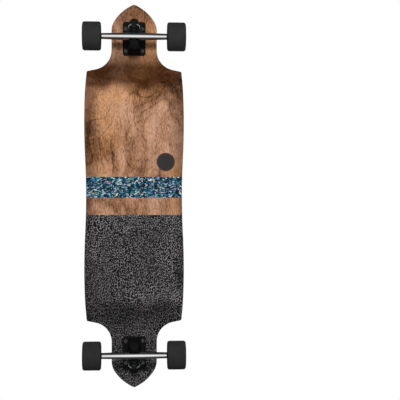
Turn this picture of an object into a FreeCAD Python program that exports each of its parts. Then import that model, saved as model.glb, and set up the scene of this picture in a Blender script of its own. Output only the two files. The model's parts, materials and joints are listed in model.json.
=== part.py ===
import FreeCAD, Part
import math
import os
import re

import Sketcher

# Longboard skateboard with a dropped standing platform and reverse-kingpin trucks.
# Millimetres and degrees. +X is the nose, +Y the left side, +Z up; the wheels stand on Z = 0
# and the middle of the board is over the origin.

SIZES = {
    # deck outline: pointed nose and tail, narrow neck, wheel wells, waisted sides
    "deck_length": 960,
    "nose_length": 66,
    "nose_shoulder_radius": 46,
    "nose_shoulder_turn": 33,
    "tip_radius": 4,
    "neck_width": 113,
    "well_radius": 48.7,
    "well_turn": 79,
    "shoulder_reach": 313,
    "shoulder_width": 237.4,
    "shoulder_corner_radius": 4,
    "hip_reach": 186,
    "hip_width": 248.4,
    "waist_width": 239,
    # deck bend and section
    "platform_drop": 17,
    "slope_outer_reach": 335,
    "slope_length": 80,
    "flat_width": 64,
    "concave_rise": 9,
    "veneer_thickness": 1.4,
    "core_thickness": 9.2,
    "sheet_thickness": 0.9,
    "glue_line": 0.02,
    "stock_margin": 24,
    # top sheets
    "strip_width": 138,
    "strip_end_width": 158,
    "strip_straight_reach": 150,
    "sheet_seam": 0.3,
    # deck fasteners
    "bolt_spacing_long": 53.975,
    "bolt_spacing_wide": 41.275,
    "bolt_radius": 2.4,
    "bolt_head_radius": 4.5,
    "bolt_head_height": 2.3,
    "bolt_socket_flats": 3.2,
    "bolt_socket_depth": 1.6,
    "bolt_hole_clearance": 0.3,
    "bolt_end_stand_out": 1.2,
    "deck_nut_flats": 9.5,
    "deck_nut_height": 4,
    "deck_nut_collar_radius": 4.1,
    "deck_nut_collar_height": 1.6,
    # truck layout
    "truck_spacing": 778,
    "axle_drop": 62,
    "steer_angle": 45,
    "rake": 12,
    "ring_reach": 27,
    # baseplate
    "plate_outer": 46,
    "plate_inner": 38,
    "plate_width": 57,
    "plate_thickness": 6,
    "plate_corner_radius": 7,
    "plate_edge_radius": 1.5,
    "tongue_reach": 8.5,
    "tongue_radius": 12,
    "wedge_width": 28,
    "wedge_foot_inset": 3,
    "seat_boss_radius": 16.5,
    "housing_radius": 11.5,
    "housing_mouth": 10.6,
    "housing_wall": 2.5,
    "housing_round": 5,
    # pivot
    "cup_start": 11,
    "cup_end": 24.5,
    "cup_radius": 8.5,
    "pivot_base_radius": 7,
    "pivot_tip_radius": 4.6,
    "pivot_tip": 21.6,
    "pivot_round": 2.4,
    "pivot_clearance": 0.08,
    # kingpin stack
    "kingpin_radius": 4.76,
    "kingpin_clearance": 0.15,
    "kingpin_head_flats": 14.3,
    "kingpin_head_height": 5.6,
    "kingpin_seat_wall": 12.5,
    "kingpin_end_stand_out": 2,
    "kingpin_nut_flats": 14.3,
    "kingpin_nut_height": 5.6,
    "kingpin_nut_collar_radius": 6.4,
    "kingpin_nut_collar_height": 1.6,
    "bushing_radius": 14,
    "bushing_height": 15,
    "bushing_edge": 0.8,
    "cup_washer_radius": 15.6,
    "cup_washer_thickness": 2,
    "cup_washer_lip": 1.2,
    "cup_washer_lip_height": 1.4,
    # hanger
    "ring_radius": 17.2,
    "ring_web": 8,
    "ring_lip_height": 2.4,
    "ring_hole_radius": 9,
    "seat_clearance": 0.35,
    "tube_mid_radius": 9.3,
    "tube_end_radius": 7.3,
    "tube_straight_half": 20,
    "yoke_foot_half": 21,
    "yoke_thickness": 10,
    "wing_end_inset": 14,
    "wing_reach": 12,
    "wing_thickness": 6,
    # axle line
    "axle_radius": 3.97,
    "axle_half_length": 124,
    "axle_end_stand_out": 1.4,
    "axle_end_chamfer": 0.8,
    "shaft_clearance": 0.03,
    "speed_washer_radius": 6,
    "speed_washer_thickness": 1,
    "axle_nut_flats": 12.7,
    "axle_nut_height": 5,
    "axle_nut_collar_radius": 5.4,
    "axle_nut_collar_height": 1.6,
    # bearings
    "bearing_radius": 11,
    "bearing_width": 7,
    "bearing_gap": 10,
    "spacer_radius": 5.6,
    "ball_radius": 1.985,
    "ball_circle_radius": 7.5,
    "race_groove_clearance": 0.08,
    "inner_race_radius": 6.2,
    "outer_race_bore_radius": 8.8,
    "shield_thickness": 0.4,
    "shield_clearance": 0.1,
    # wheel
    "wheel_diameter": 70,
    "wheel_width": 45,
    "wheel_lip_radius": 6,
    "wheel_face_radius": 26,
    "core_radius": 18.5,
    "core_half_width": 16.5,
    "core_rib_radius": 9.4,
    "core_window_depth": 4,
    "core_window_half_angle": 22,
    "core_window_wall": 1.8,
    "bond_line": 0.02,
    "bearing_seat_clearance": 0.02,
    # reach of a cut past the face that it opens
    "overrun": 30,
}
BALL_COUNT = 7
CORE_WINDOW_COUNT = 6
HEX_CORNERS = 6
FULL_TURN = 360
SMALL = 1e-7

doc = FreeCAD.newDocument("Longboard")
sheet = doc.addObject("Spreadsheet::Sheet", "dims")
for row, (size_name, size_value) in enumerate(SIZES.items(), start=1):
    sheet.set(f"A{row}", size_name)
    sheet.set(f"B{row}", str(size_value))
    sheet.setAlias(f"B{row}", size_name)
doc.recompute()

sub_parts = []


# Expressions in the sheet's names
def bound(text):
    """The same expression with each size name written as a cell of the sheet."""
    return re.sub(r"[a-z_]+", lambda m: f"dims.{m.group()}" if m.group() in SIZES else m.group(), text)


def value(text):
    """The number that an expression in size names gives now."""
    return float(sheet.evalExpression(bound(text)))


def bind(target, property_path, text):
    target.setExpression(property_path, bound(text))


def frame_text(x, y, z, yaw="0", pitch="0", roll="0"):
    spot = f"create(<<vector>>; {x}; {y}; {z})"
    turn = f"create(<<rotation>>; {yaw}; {pitch}; {roll})"
    return f"create(<<placement>>; {spot}; {turn})"


def stand(target, x, y, z, yaw="0", pitch="0", roll="0"):
    bind(target, "Placement", frame_text(x, y, z, yaw, pitch, roll))


# Sketch and feature helpers
def new_body(name):
    return doc.addObject("PartDesign::Body", name)


def sketch_on(body, role, shift=("0", "0", "0"), turn="0"):
    """A sketch on one of the body's own planes, moved and turned within that plane's axes."""
    sketch = body.newObject("Sketcher::SketchObject", f"{body.Name}_sketch")
    plane = next(item for item in body.Origin.OriginFeatures if item.Role == role)
    sketch.AttachmentSupport = [(plane, "")]
    sketch.MapMode = "FlatFace"
    bind(sketch, "AttachmentOffset", frame_text(*shift, yaw=turn))
    return sketch


def fix_point(sketch, geometry, end, x, y):
    """Hold one point of a sketch at a place given in size names."""
    for kind, text, axis in (("DistanceX", x, -2), ("DistanceY", y, -1)):
        if abs(value(text)) < SMALL:
            sketch.addConstraint(Sketcher.Constraint("PointOnObject", geometry, end, axis))
        else:
            index = sketch.addConstraint(Sketcher.Constraint(kind, -1, 1, geometry, end, value(text)))
            bind(sketch, f"Constraints[{index}]", text)


def draw_polygon(sketch, points):
    corners = [FreeCAD.Vector(value(x), value(y), 0) for x, y in points]
    first = sketch.GeometryCount
    for start, finish in zip(corners, corners[1:] + corners[:1]):
        sketch.addGeometry(Part.LineSegment(start, finish))
    for step in range(len(points)):
        follower = first + (step + 1) % len(points)
        sketch.addConstraint(Sketcher.Constraint("Coincident", first + step, 2, follower, 1))
    for step, (x, y) in enumerate(points):
        fix_point(sketch, first + step, 1, x, y)


def draw_circle(sketch, x, y, radius):
    middle = FreeCAD.Vector(value(x), value(y), 0)
    index = sketch.addGeometry(Part.Circle(middle, FreeCAD.Vector(0, 0, 1), value(radius)))
    fix_point(sketch, index, 3, x, y)
    limit = sketch.addConstraint(Sketcher.Constraint("Radius", index, value(radius)))
    bind(sketch, f"Constraints[{limit}]", radius)


def draw_hexagon(sketch, flats):
    corner = f"{flats} / sqrt(3)"
    turns = [FULL_TURN / HEX_CORNERS * step for step in range(HEX_CORNERS)]
    draw_polygon(sketch, [(f"{corner} * cos({turn})", f"{corner} * sin({turn})") for turn in turns])


def add_feature(body, kind, sketch):
    feature = body.newObject(f"PartDesign::{kind}", f"{body.Name}_{kind.lower()}")
    feature.Profile = sketch
    body.Tip = feature
    return feature


def extrude(body, sketch, length, kind="Pad", symmetric=False, reverse=False):
    feature = add_feature(body, kind, sketch)
    feature.SideType = "Symmetric" if symmetric else "One side"
    feature.Reversed = reverse
    bind(feature, "Length", length)
    doc.recompute()
    return feature


def revolve(body, sketch, axis="V_Axis", kind="Revolution"):
    feature = add_feature(body, kind, sketch)
    feature.ReferenceAxis = (sketch, [axis])
    feature.Angle = FULL_TURN
    doc.recompute()
    return feature


def revolve_profile(body, role, points, axis="V_Axis", kind="Revolution", shift=("0", "0", "0"), turn="0"):
    sketch = sketch_on(body, role, shift, turn)
    draw_polygon(sketch, points)
    return revolve(body, sketch, axis, kind)


def round_edges(body, radius, wanted):
    """Fillet the edges of the body's last feature that the test picks."""
    base = body.Tip
    names = [f"Edge{index}" for index, edge in enumerate(base.Shape.Edges, start=1) if wanted(edge)]
    fillet = body.newObject("PartDesign::Fillet", f"{body.Name}_fillet")
    fillet.Base = (base, names)
    bind(fillet, "Radius", radius)
    body.Tip = fillet
    doc.recompute()
    return fillet


def is_circle(edge, radius):
    return isinstance(edge.Curve, Part.Circle) and abs(edge.Curve.Radius - value(radius)) < SMALL


def is_upright(edge):
    return isinstance(edge.Curve, Part.Line) and abs(edge.Curve.Direction.z) > 1 - SMALL


def boolean(kind, name, base, tool):
    result = doc.addObject(f"Part::{kind}", name)
    result.Base = base
    result.Tool = tool
    doc.recompute()
    return result


def compound(name, pieces):
    group = doc.addObject("Part::Compound", name)
    group.Links = pieces
    doc.recompute()
    return group


def sub_part(target, label):
    target.Label = label
    sub_parts.append(target)


# Places that several pieces share
MOUNT_HEIGHT = "(wheel_diameter / 2 + axle_drop)"
STEER_X = "(-rake * sin(steer_angle))"
STEER_HEIGHT = "(wheel_diameter / 2 + rake * cos(steer_angle))"
RING_X = "(ring_reach * cos(steer_angle) - rake * sin(steer_angle))"
RING_HEIGHT = "(wheel_diameter / 2 + rake * cos(steer_angle) + ring_reach * sin(steer_angle))"
SEAT_HEIGHT = "(ring_web / 2 + bushing_height + cup_washer_thickness)"
HEAD_HEIGHT = f"({SEAT_HEIGHT} + kingpin_seat_wall)"
BEARING_MIDDLE = "(bearing_gap / 2 + bearing_width / 2)"
NUT_SEAT = "(axle_half_length - axle_end_stand_out - axle_nut_collar_height - axle_nut_height)"
WHEEL_MIDDLE = f"({NUT_SEAT} - speed_washer_thickness - bearing_width - bearing_gap / 2)"
HANGER_HALF = f"({WHEEL_MIDDLE} - bearing_gap / 2 - bearing_width - speed_washer_thickness)"
DECK_THICKNESS = "(veneer_thickness + core_thickness + sheet_thickness)"
SHAFT_BORE = "(axle_radius + shaft_clearance)"
ENDS = {"front": ("1", "0"), "rear": ("-1", "180")}
SIDES = {"left": "1", "right": "-1"}


def stand_in_truck(target, end, outward, height, pitch="0"):
    """Place a piece in the front or rear truck, given its reach outward from the bolt pattern."""
    sign, yaw = ENDS[end]
    stand(target, f"{sign} * (truck_spacing / 2 + {outward})", "0", height, yaw, pitch)


# Deck
def outline_arc(start, middle, finish):
    return Part.Arc(*(FreeCAD.Vector(x, y, 0) for x, y in (start, middle, finish)))


def outline_line(start, finish):
    return Part.LineSegment(FreeCAD.Vector(*start, 0), FreeCAD.Vector(*finish, 0))


def quarter_outline():
    """Curves from the waist to the nose point on the left side, in plan."""
    tip = (value("deck_length / 2"), 0)
    neck = value("neck_width / 2")
    shoulder = value("nose_shoulder_radius")
    turn = math.radians(value("nose_shoulder_turn"))
    nose_start = tip[0] - value("nose_length")

    def on_shoulder(angle):
        return (nose_start + shoulder * math.sin(angle), neck - shoulder * (1 - math.cos(angle)))

    flank_start = on_shoulder(turn)
    across = (tip[0] - flank_start[0], flank_start[1])
    chord = math.hypot(*across)
    bend = math.atan2(across[1], across[0]) - turn
    sagitta = chord / 2 * math.tan(bend / 2)
    flank_middle = (
        (tip[0] + flank_start[0]) / 2 + sagitta * across[1] / chord,
        flank_start[1] / 2 + sagitta * across[0] / chord,
    )

    corner = (value("shoulder_reach"), value("shoulder_width / 2"))
    well = value("well_radius")
    sweep = math.radians(value("well_turn"))
    well_top = neck + well * (1 - math.cos(sweep))
    well_end = (corner[0] + (corner[1] - well_top) / math.tan(sweep), well_top)
    well_start = (well_end[0] + well * math.sin(sweep), neck)
    well_middle = (
        well_start[0] - well * math.sin(sweep / 2),
        neck + well * (1 - math.cos(sweep / 2)),
    )

    hip = (value("hip_reach"), value("hip_width / 2"))
    waist = (0, value("waist_width / 2"))
    inflection = (hip[0] / 2, (hip[1] + waist[1]) / 2)
    return [
        outline_arc(waist, tangent_middle(waist, inflection), inflection),
        outline_arc(inflection, tangent_middle(hip, inflection), hip),
        outline_arc(hip, tangent_middle(hip, corner), corner),
        outline_line(corner, well_end),
        outline_arc(well_end, well_middle, well_start),
        outline_line(well_start, (nose_start, neck)),
        outline_arc((nose_start, neck), on_shoulder(turn / 2), flank_start),
        outline_arc(flank_start, flank_middle, tip),
    ]


def tangent_middle(level, far):
    """Middle of the arc that leaves the first point along X and ends at the second."""
    along, aside = far[0] - level[0], far[1] - level[1]
    turn = 2 * math.atan2(aside, abs(along))
    radius = abs(along) / math.sin(turn)
    direction = math.copysign(1, along)
    return (level[0] + direction * radius * math.sin(turn / 2), level[1] + radius * (1 - math.cos(turn / 2)))


def make_outline_prism():
    """Upright prism of the deck's plan, tall enough to cut every layer."""
    body = new_body("outline")
    sketch = sketch_on(body, "XY_Plane")
    mirror_x = FreeCAD.Matrix(-1, 0, 0, 0, 0, 1)
    mirror_y = FreeCAD.Matrix(1, 0, 0, 0, 0, -1)
    for flips in ((), (mirror_x,), (mirror_y,), (mirror_x, mirror_y)):
        for curve in quarter_outline():
            for flip in flips:
                curve.transform(flip)
            sketch.addGeometry(curve)
    extrude(body, sketch, f"{MOUNT_HEIGHT} + {DECK_THICKNESS} + concave_rise + overrun")
    reach = value("deck_length / 2")
    round_edges(body, "tip_radius", lambda edge: is_upright(edge) and abs(edge.CenterOfMass.x) > reach - SMALL)
    corner = value("shoulder_reach")
    round_edges(
        body,
        "shoulder_corner_radius",
        lambda edge: is_upright(edge) and abs(abs(edge.CenterOfMass.x) - corner) < SMALL,
    )
    return body


def make_deck_path():
    """Underside centre line: level at the trucks, down two tangent arcs to the platform and up again."""
    path = doc.addObject("Sketcher::SketchObject", "deck_path")
    stand(path, "0", "0", MOUNT_HEIGHT, roll="90")
    drop, slope = value("platform_drop"), value("slope_length")
    outer = value("slope_outer_reach")
    reach = value("deck_length / 2 + stock_margin")
    turn = 2 * math.atan2(drop, slope)
    radius = slope / (2 * math.sin(turn))
    middle = (outer - slope / 2, -drop / 2)
    upper = (outer - radius * math.sin(turn / 2), -radius * (1 - math.cos(turn / 2)))
    lower = (outer - slope + radius * math.sin(turn / 2), -drop + radius * (1 - math.cos(turn / 2)))
    foot = (outer - slope, -drop)

    def flipped(point):
        return (-point[0], point[1])

    path.addGeometry(outline_line((-reach, 0), (-outer, 0)))
    path.addGeometry(outline_arc((-outer, 0), flipped(upper), flipped(middle)))
    path.addGeometry(outline_arc(flipped(middle), flipped(lower), flipped(foot)))
    path.addGeometry(outline_line(flipped(foot), foot))
    path.addGeometry(outline_arc(foot, lower, middle))
    path.addGeometry(outline_arc(middle, upper, (outer, 0)))
    path.addGeometry(outline_line((outer, 0), (reach, 0)))
    doc.recompute()
    return path


def make_layer(name, path, bottom, top):
    """Sweep one concave layer of the deck, between two heights above the underside, along the path."""
    section = doc.addObject("Sketcher::SketchObject", f"{name}_section")
    stand(section, "-deck_length / 2 - stock_margin", "0", MOUNT_HEIGHT, yaw="90", roll="90")
    flat = value("flat_width / 2")
    span = value("hip_width / 2") - flat
    rise = value("concave_rise")
    radius = (span ** 2 + rise ** 2) / (2 * rise)
    edge = value("hip_width / 2 + stock_margin") - flat

    def on_arc(side, height, across):
        return (side * (flat + across), radius - math.sqrt((radius - height) ** 2 - across ** 2))

    heights = (value(bottom), value(top))
    for height in heights:
        section.addGeometry(outline_line((-flat, height), (flat, height)))
        for side in (1, -1):
            points = [on_arc(side, height, across) for across in (0, edge / 2, edge)]
            section.addGeometry(outline_arc(*points))
    for side in (1, -1):
        section.addGeometry(outline_line(*(on_arc(side, height, edge) for height in heights)))
    doc.recompute()
    layer = doc.addObject("Part::Sweep", f"{name}_stock")
    layer.Sections = [section]
    layer.Spine = (path, [f"Edge{index}" for index in range(1, path.GeometryCount + 1)])
    layer.Solid = True
    doc.recompute()
    return layer


def make_strip_side(name, side, gap):
    """Prism over the deck outside the middle strip, whose edge flares along an arc to each shoulder."""
    sign = value(SIDES[side])
    half = value(f"strip_width / 2 + {gap}")
    edge = value("hip_width / 2 + stock_margin")
    straight = (value("strip_straight_reach"), half)
    shoulder = (value("shoulder_reach"), value(f"strip_end_width / 2 + {gap}"))
    slope = math.tan(2 * math.atan2(shoulder[1] - half, shoulder[0] - straight[0]))
    margin = value("stock_margin")
    past = (shoulder[0] + margin, shoulder[1] + margin * slope)
    body = new_body(name)
    sketch = sketch_on(body, "XY_Plane")

    def placed(end, points):
        return [(end * x, sign * y) for x, y in points]

    sketch.addGeometry(outline_line(*(placed(end, [straight])[0] for end in (-1, 1))))
    for end in (-1, 1):
        flare = (straight, tangent_middle(straight, shoulder), shoulder)
        sketch.addGeometry(outline_arc(*placed(end, flare)))
        sketch.addGeometry(outline_line(*placed(end, (shoulder, past))))
        sketch.addGeometry(outline_line(*placed(end, (past, (past[0], edge)))))
    sketch.addGeometry(outline_line(*(placed(end, [(past[0], edge)])[0] for end in (-1, 1))))
    extrude(body, sketch, f"{MOUNT_HEIGHT} + {DECK_THICKNESS} + concave_rise + overrun")
    return body


def bolt_places():
    """Row places of the eight deck bolts, as expressions."""
    places = []
    for sign, _ in ENDS.values():
        for outward in ("-1", "1"):
            for aside in ("-1", "1"):
                x = f"{sign} * (truck_spacing / 2 + {outward} * bolt_spacing_long / 2)"
                places.append((x, f"{aside} * bolt_spacing_wide / 2"))
    return places


def make_bolt_clearance(name, x, y):
    """Solid that a deck bolt and its clearance take out of the deck."""
    body = new_body(name)
    hole = "(bolt_radius + bolt_hole_clearance)"
    head = "(bolt_head_radius + bolt_hole_clearance)"
    revolve_profile(body, "XZ_Plane", [
        ("0", f"-{DECK_THICKNESS} - overrun"),
        (hole, f"-{DECK_THICKNESS} - overrun"),
        (hole, "-bolt_head_height"),
        (head, "0"),
        (head, "overrun"),
        ("0", "overrun"),
    ])
    stand(body, x, y, f"{MOUNT_HEIGHT} + {DECK_THICKNESS}")
    return body


def make_deck():
    outline = make_outline_prism()
    path = make_deck_path()
    holes = compound(
        "bolt_clearances",
        [make_bolt_clearance(f"bolt_clearance_{index}", *place) for index, place in enumerate(bolt_places())],
    )
    core_bottom = "veneer_thickness"
    core_top = "(veneer_thickness + core_thickness)"
    layers = {
        "underside_veneer": ("0", f"{core_bottom} - glue_line"),
        "deck": (core_bottom, core_top),
        "sheet": (f"{core_top} + glue_line", DECK_THICKNESS),
    }
    cut = {}
    for name, (bottom, top) in layers.items():
        stock = make_layer(name, path, bottom, top)
        shaped = doc.addObject("Part::MultiCommon", f"{name}_shaped")
        shaped.Shapes = [stock, outline]
        doc.recompute()
        cut[name] = boolean("Cut", name, shaped, holes)
    sub_part(cut["deck"], "deck")
    sub_part(cut["underside_veneer"], "underside_veneer")
    openings = compound("strip_sides", [make_strip_side(f"strip_{side}", side, "0") for side in SIDES])
    sub_part(boolean("Cut", "top_print", cut["sheet"], openings), "top_print")
    for side in SIDES:
        area = make_strip_side(f"{side}_grip_area", side, "sheet_seam")
        grip = doc.addObject("Part::MultiCommon", f"{side}_grip")
        grip.Shapes = [cut["sheet"], area]
        doc.recompute()
        sub_part(grip, f"{side}_grip")


# Hexagon nut with a round locking collar, along +Z from its seat
def make_lock_nut(name, flats, height, collar_radius, collar_height, bore):
    body = new_body(name)
    sketch = sketch_on(body, "XY_Plane")
    draw_hexagon(sketch, flats)
    draw_circle(sketch, "0", "0", bore)
    extrude(body, sketch, height)
    collar = sketch_on(body, "XY_Plane", ("0", "0", height))
    draw_circle(collar, "0", "0", collar_radius)
    draw_circle(collar, "0", "0", bore)
    extrude(body, collar, collar_height)
    return body


def make_ring(name, bore, radius, thickness):
    """Flat washer, spacer or shield along +Z."""
    body = new_body(name)
    sketch = sketch_on(body, "XY_Plane")
    draw_circle(sketch, "0", "0", radius)
    draw_circle(sketch, "0", "0", bore)
    extrude(body, sketch, thickness)
    return body


# Deck bolts and nuts
def make_deck_bolt(name, x, y):
    body = new_body(name)
    stack = f"({DECK_THICKNESS} + plate_thickness + deck_nut_height + deck_nut_collar_height)"
    revolve_profile(body, "XZ_Plane", [
        ("0", f"-{stack} - bolt_end_stand_out"),
        ("bolt_radius", f"-{stack} - bolt_end_stand_out"),
        ("bolt_radius", "-bolt_head_height"),
        ("bolt_head_radius", "0"),
        ("0", "0"),
    ])
    socket = sketch_on(body, "XY_Plane")
    draw_hexagon(socket, "bolt_socket_flats")
    extrude(body, socket, "bolt_socket_depth", kind="Pocket")
    stand(body, x, y, f"{MOUNT_HEIGHT} + {DECK_THICKNESS}")
    return body


def make_deck_nut(name, x, y):
    body = make_lock_nut(
        name,
        "deck_nut_flats",
        "deck_nut_height",
        "deck_nut_collar_radius",
        "deck_nut_collar_height",
        "(bolt_radius + shaft_clearance)",
    )
    stand(body, x, y, f"{MOUNT_HEIGHT} - plate_thickness", roll="180")
    return body


def make_deck_fasteners():
    places = bolt_places()
    per_truck = len(places) // len(ENDS)
    for index, end in enumerate(ENDS):
        own = list(enumerate(places))[index * per_truck:(index + 1) * per_truck]
        bolts = [make_deck_bolt(f"deck_bolt_{step}", *place) for step, place in own]
        sub_part(compound(f"{end}_deck_bolts", bolts), f"{end}_deck_bolts")
        nuts = [make_deck_nut(f"deck_nut_{step}", *place) for step, place in own]
        sub_part(compound(f"{end}_deck_nuts", nuts), f"{end}_deck_nuts")


# Baseplate, in the truck's own frame: origin on the deck side at the bolt pattern, X outward
def tilted(along, up):
    """Truck place of a point given along the steering axis and up square to it."""
    x = f"({STEER_X} + ({along}) * cos(steer_angle) - ({up}) * sin(steer_angle))"
    z = f"(rake * cos(steer_angle) - axle_drop + ({along}) * sin(steer_angle) + ({up}) * cos(steer_angle))"
    return (x, z)


def make_baseplate(end):
    body = new_body(f"{end}_baseplate")
    plate = sketch_on(body, "XY_Plane")
    draw_polygon(plate, [
        ("-plate_inner", "-plate_width / 2"),
        ("plate_outer", "-plate_width / 2"),
        ("plate_outer", "plate_width / 2"),
        ("-plate_inner", "plate_width / 2"),
    ])
    extrude(body, plate, "plate_thickness", reverse=True)
    round_edges(body, "plate_corner_radius", is_upright)
    tongue = sketch_on(body, "XY_Plane")
    draw_circle(tongue, "plate_outer + tongue_reach - tongue_radius", "0", "tongue_radius")
    extrude(body, tongue, "plate_thickness", reverse=True)
    underside = -value("plate_thickness")
    round_edges(body, "plate_edge_radius", lambda edge: abs(edge.BoundBox.ZMax - underside) < SMALL)

    steer_frame = (STEER_X, "rake * cos(steer_angle) - axle_drop", "0")
    ring_frame = (RING_X, f"{RING_HEIGHT} - {MOUNT_HEIGHT}", "0")
    housing_end = "(cup_end + housing_wall)"
    seat_foot = f"(axle_drop - rake * cos(steer_angle) - plate_thickness / 2 - {SEAT_HEIGHT} * cos(steer_angle))"
    wedge = sketch_on(body, "XZ_Plane")
    draw_polygon(wedge, [
        ("-plate_inner + wedge_foot_inset", "-plate_thickness / 2"),
        tilted(f"housing_round - {housing_end}", "housing_radius - housing_wall"),
        tilted("-housing_mouth", "housing_radius - housing_wall"),
        tilted("housing_wall - housing_mouth", SEAT_HEIGHT),
        tilted(f"{seat_foot} / sin(steer_angle)", SEAT_HEIGHT),
    ])
    extrude(body, wedge, "wedge_width", symmetric=True)
    revolve_profile(
        body,
        "XZ_Plane",
        [
            (f"-{housing_end}", "0"),
            (f"-{housing_end}", "housing_radius - housing_round"),
            (f"housing_round * (1 - cos(45)) - {housing_end}", "housing_radius - housing_round * (1 - cos(45))"),
            (f"housing_round - {housing_end}", "housing_radius"),
            ("-housing_mouth", "housing_radius"),
            ("-housing_mouth", "0"),
        ],
        axis="H_Axis",
        shift=steer_frame,
        turn="steer_angle",
    )
    revolve_profile(
        body,
        "XZ_Plane",
        [
            ("0", SEAT_HEIGHT),
            ("seat_boss_radius", SEAT_HEIGHT),
            ("seat_boss_radius", HEAD_HEIGHT),
            ("0", HEAD_HEIGHT),
        ],
        shift=ring_frame,
        turn="steer_angle",
    )

    trim = sketch_on(body, "XY_Plane")
    draw_polygon(trim, [
        ("-plate_inner - overrun", "-plate_width"),
        ("plate_outer + overrun", "-plate_width"),
        ("plate_outer + overrun", "plate_width"),
        ("-plate_inner - overrun", "plate_width"),
    ])
    extrude(body, trim, "axle_drop", kind="Pocket", reverse=True)
    bolts = sketch_on(body, "XY_Plane")
    for x in ("-bolt_spacing_long / 2", "bolt_spacing_long / 2"):
        for y in ("-bolt_spacing_wide / 2", "bolt_spacing_wide / 2"):
            draw_circle(bolts, x, y, "bolt_radius + bolt_hole_clearance")
    extrude(body, bolts, "plate_thickness + overrun", kind="Pocket")
    revolve_profile(
        body,
        "XZ_Plane",
        [
            ("-cup_end", "0"),
            ("-cup_end", "cup_radius + bond_line"),
            ("0", "cup_radius + bond_line"),
            ("0", "0"),
        ],
        axis="H_Axis",
        kind="Groove",
        shift=steer_frame,
        turn="steer_angle",
    )
    head_hole = "(kingpin_head_flats / sqrt(3) + kingpin_clearance)"
    revolve_profile(
        body,
        "XZ_Plane",
        [
            ("0", f"{SEAT_HEIGHT} - cup_washer_thickness"),
            ("kingpin_radius + kingpin_clearance", f"{SEAT_HEIGHT} - cup_washer_thickness"),
            ("kingpin_radius + kingpin_clearance", HEAD_HEIGHT),
            (head_hole, HEAD_HEIGHT),
            (head_hole, f"{HEAD_HEIGHT} + overrun"),
            ("0", f"{HEAD_HEIGHT} + overrun"),
        ],
        kind="Groove",
        shift=ring_frame,
        turn="steer_angle",
    )
    stand_in_truck(body, end, "0", MOUNT_HEIGHT)
    sub_part(body, f"{end}_baseplate")


# Pivot cup, in the steering frame: X along the steering axis towards the ring
def pivot_radius_at(along):
    """Radius of the hanger's pivot cone at a distance from the axle's foot, as an expression."""
    slope = "(pivot_base_radius - pivot_tip_radius) / (pivot_tip - housing_mouth)"
    return f"(pivot_base_radius - ({along} - housing_mouth) * {slope})"


def make_pivot_cup(end):
    body = new_body(f"{end}_pivot_cup")
    revolve_profile(
        body,
        "XZ_Plane",
        [
            ("-cup_end + bond_line", "0"),
            ("-cup_end + bond_line", "cup_radius"),
            ("-cup_start", "cup_radius"),
            ("-cup_start", f"{pivot_radius_at('cup_start')} + pivot_clearance"),
            ("-pivot_tip - pivot_clearance", "pivot_tip_radius + pivot_clearance"),
            ("-pivot_tip - pivot_clearance", "0"),
        ],
        axis="H_Axis",
    )
    stand_in_truck(body, end, STEER_X, STEER_HEIGHT, "-steer_angle")
    sub_part(body, f"{end}_pivot_cup")


# Kingpin stack, in the ring's frame: Z up along the kingpin to the deck
def stand_on_kingpin(target, end):
    stand_in_truck(target, end, RING_X, RING_HEIGHT, "-steer_angle")


def make_kingpin(end):
    body = new_body(f"{end}_kingpin")
    nut = "(kingpin_nut_height + kingpin_nut_collar_height)"
    head = sketch_on(body, "XY_Plane", ("0", "0", HEAD_HEIGHT))
    draw_hexagon(head, "kingpin_head_flats")
    extrude(body, head, "kingpin_head_height")
    shank = sketch_on(body, "XY_Plane", ("0", "0", HEAD_HEIGHT))
    draw_circle(shank, "0", "0", "kingpin_radius")
    extrude(body, shank, f"{HEAD_HEIGHT} + {SEAT_HEIGHT} + {nut} + kingpin_end_stand_out", reverse=True)
    stand_on_kingpin(body, end)
    sub_part(body, f"{end}_kingpin")


def make_kingpin_nut(end):
    body = make_lock_nut(
        f"{end}_kingpin_nut",
        "kingpin_nut_flats",
        "kingpin_nut_height",
        "kingpin_nut_collar_radius",
        "kingpin_nut_collar_height",
        "(kingpin_radius + shaft_clearance)",
    )
    outward = f"({RING_X} + {SEAT_HEIGHT} * sin(steer_angle))"
    height = f"({RING_HEIGHT} - {SEAT_HEIGHT} * cos(steer_angle))"
    stand_in_truck(body, end, outward, height, "180 - steer_angle")
    sub_part(body, f"{end}_kingpin_nut")


def make_bushings(end):
    bore = "kingpin_radius + kingpin_clearance"
    seat = "ring_web / 2"
    top = "(ring_web / 2 + bushing_height)"
    for place, side in (("boardside", "1"), ("roadside", "-1")):
        body = new_body(f"{end}_{place}_bushing")
        revolve_profile(body, "XZ_Plane", [
            (bore, f"{side} * {seat}"),
            ("bushing_radius - bushing_edge", f"{side} * {seat}"),
            ("bushing_radius", f"{side} * ({seat} + bushing_edge)"),
            ("bushing_radius", f"{side} * ({top} - bushing_edge)"),
            ("bushing_radius - bushing_edge", f"{side} * {top}"),
            (bore, f"{side} * {top}"),
        ])
        stand_on_kingpin(body, end)
        sub_part(body, f"{end}_{place}_bushing")


def make_cup_washers(end):
    bore = "kingpin_radius + kingpin_clearance"
    top = "(ring_web / 2 + bushing_height)"
    lip = "(cup_washer_radius - cup_washer_lip)"
    for place, side in (("boardside", "1"), ("roadside", "-1")):
        body = new_body(f"{end}_{place}_washer")
        revolve_profile(body, "XZ_Plane", [
            (bore, f"{side} * {top}"),
            (lip, f"{side} * {top}"),
            (lip, f"{side} * ({top} - cup_washer_lip_height)"),
            ("cup_washer_radius", f"{side} * ({top} - cup_washer_lip_height)"),
            ("cup_washer_radius", f"{side} * {SEAT_HEIGHT}"),
            (bore, f"{side} * {SEAT_HEIGHT}"),
        ])
        stand_on_kingpin(body, end)
        sub_part(body, f"{end}_{place}_washer")


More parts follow.
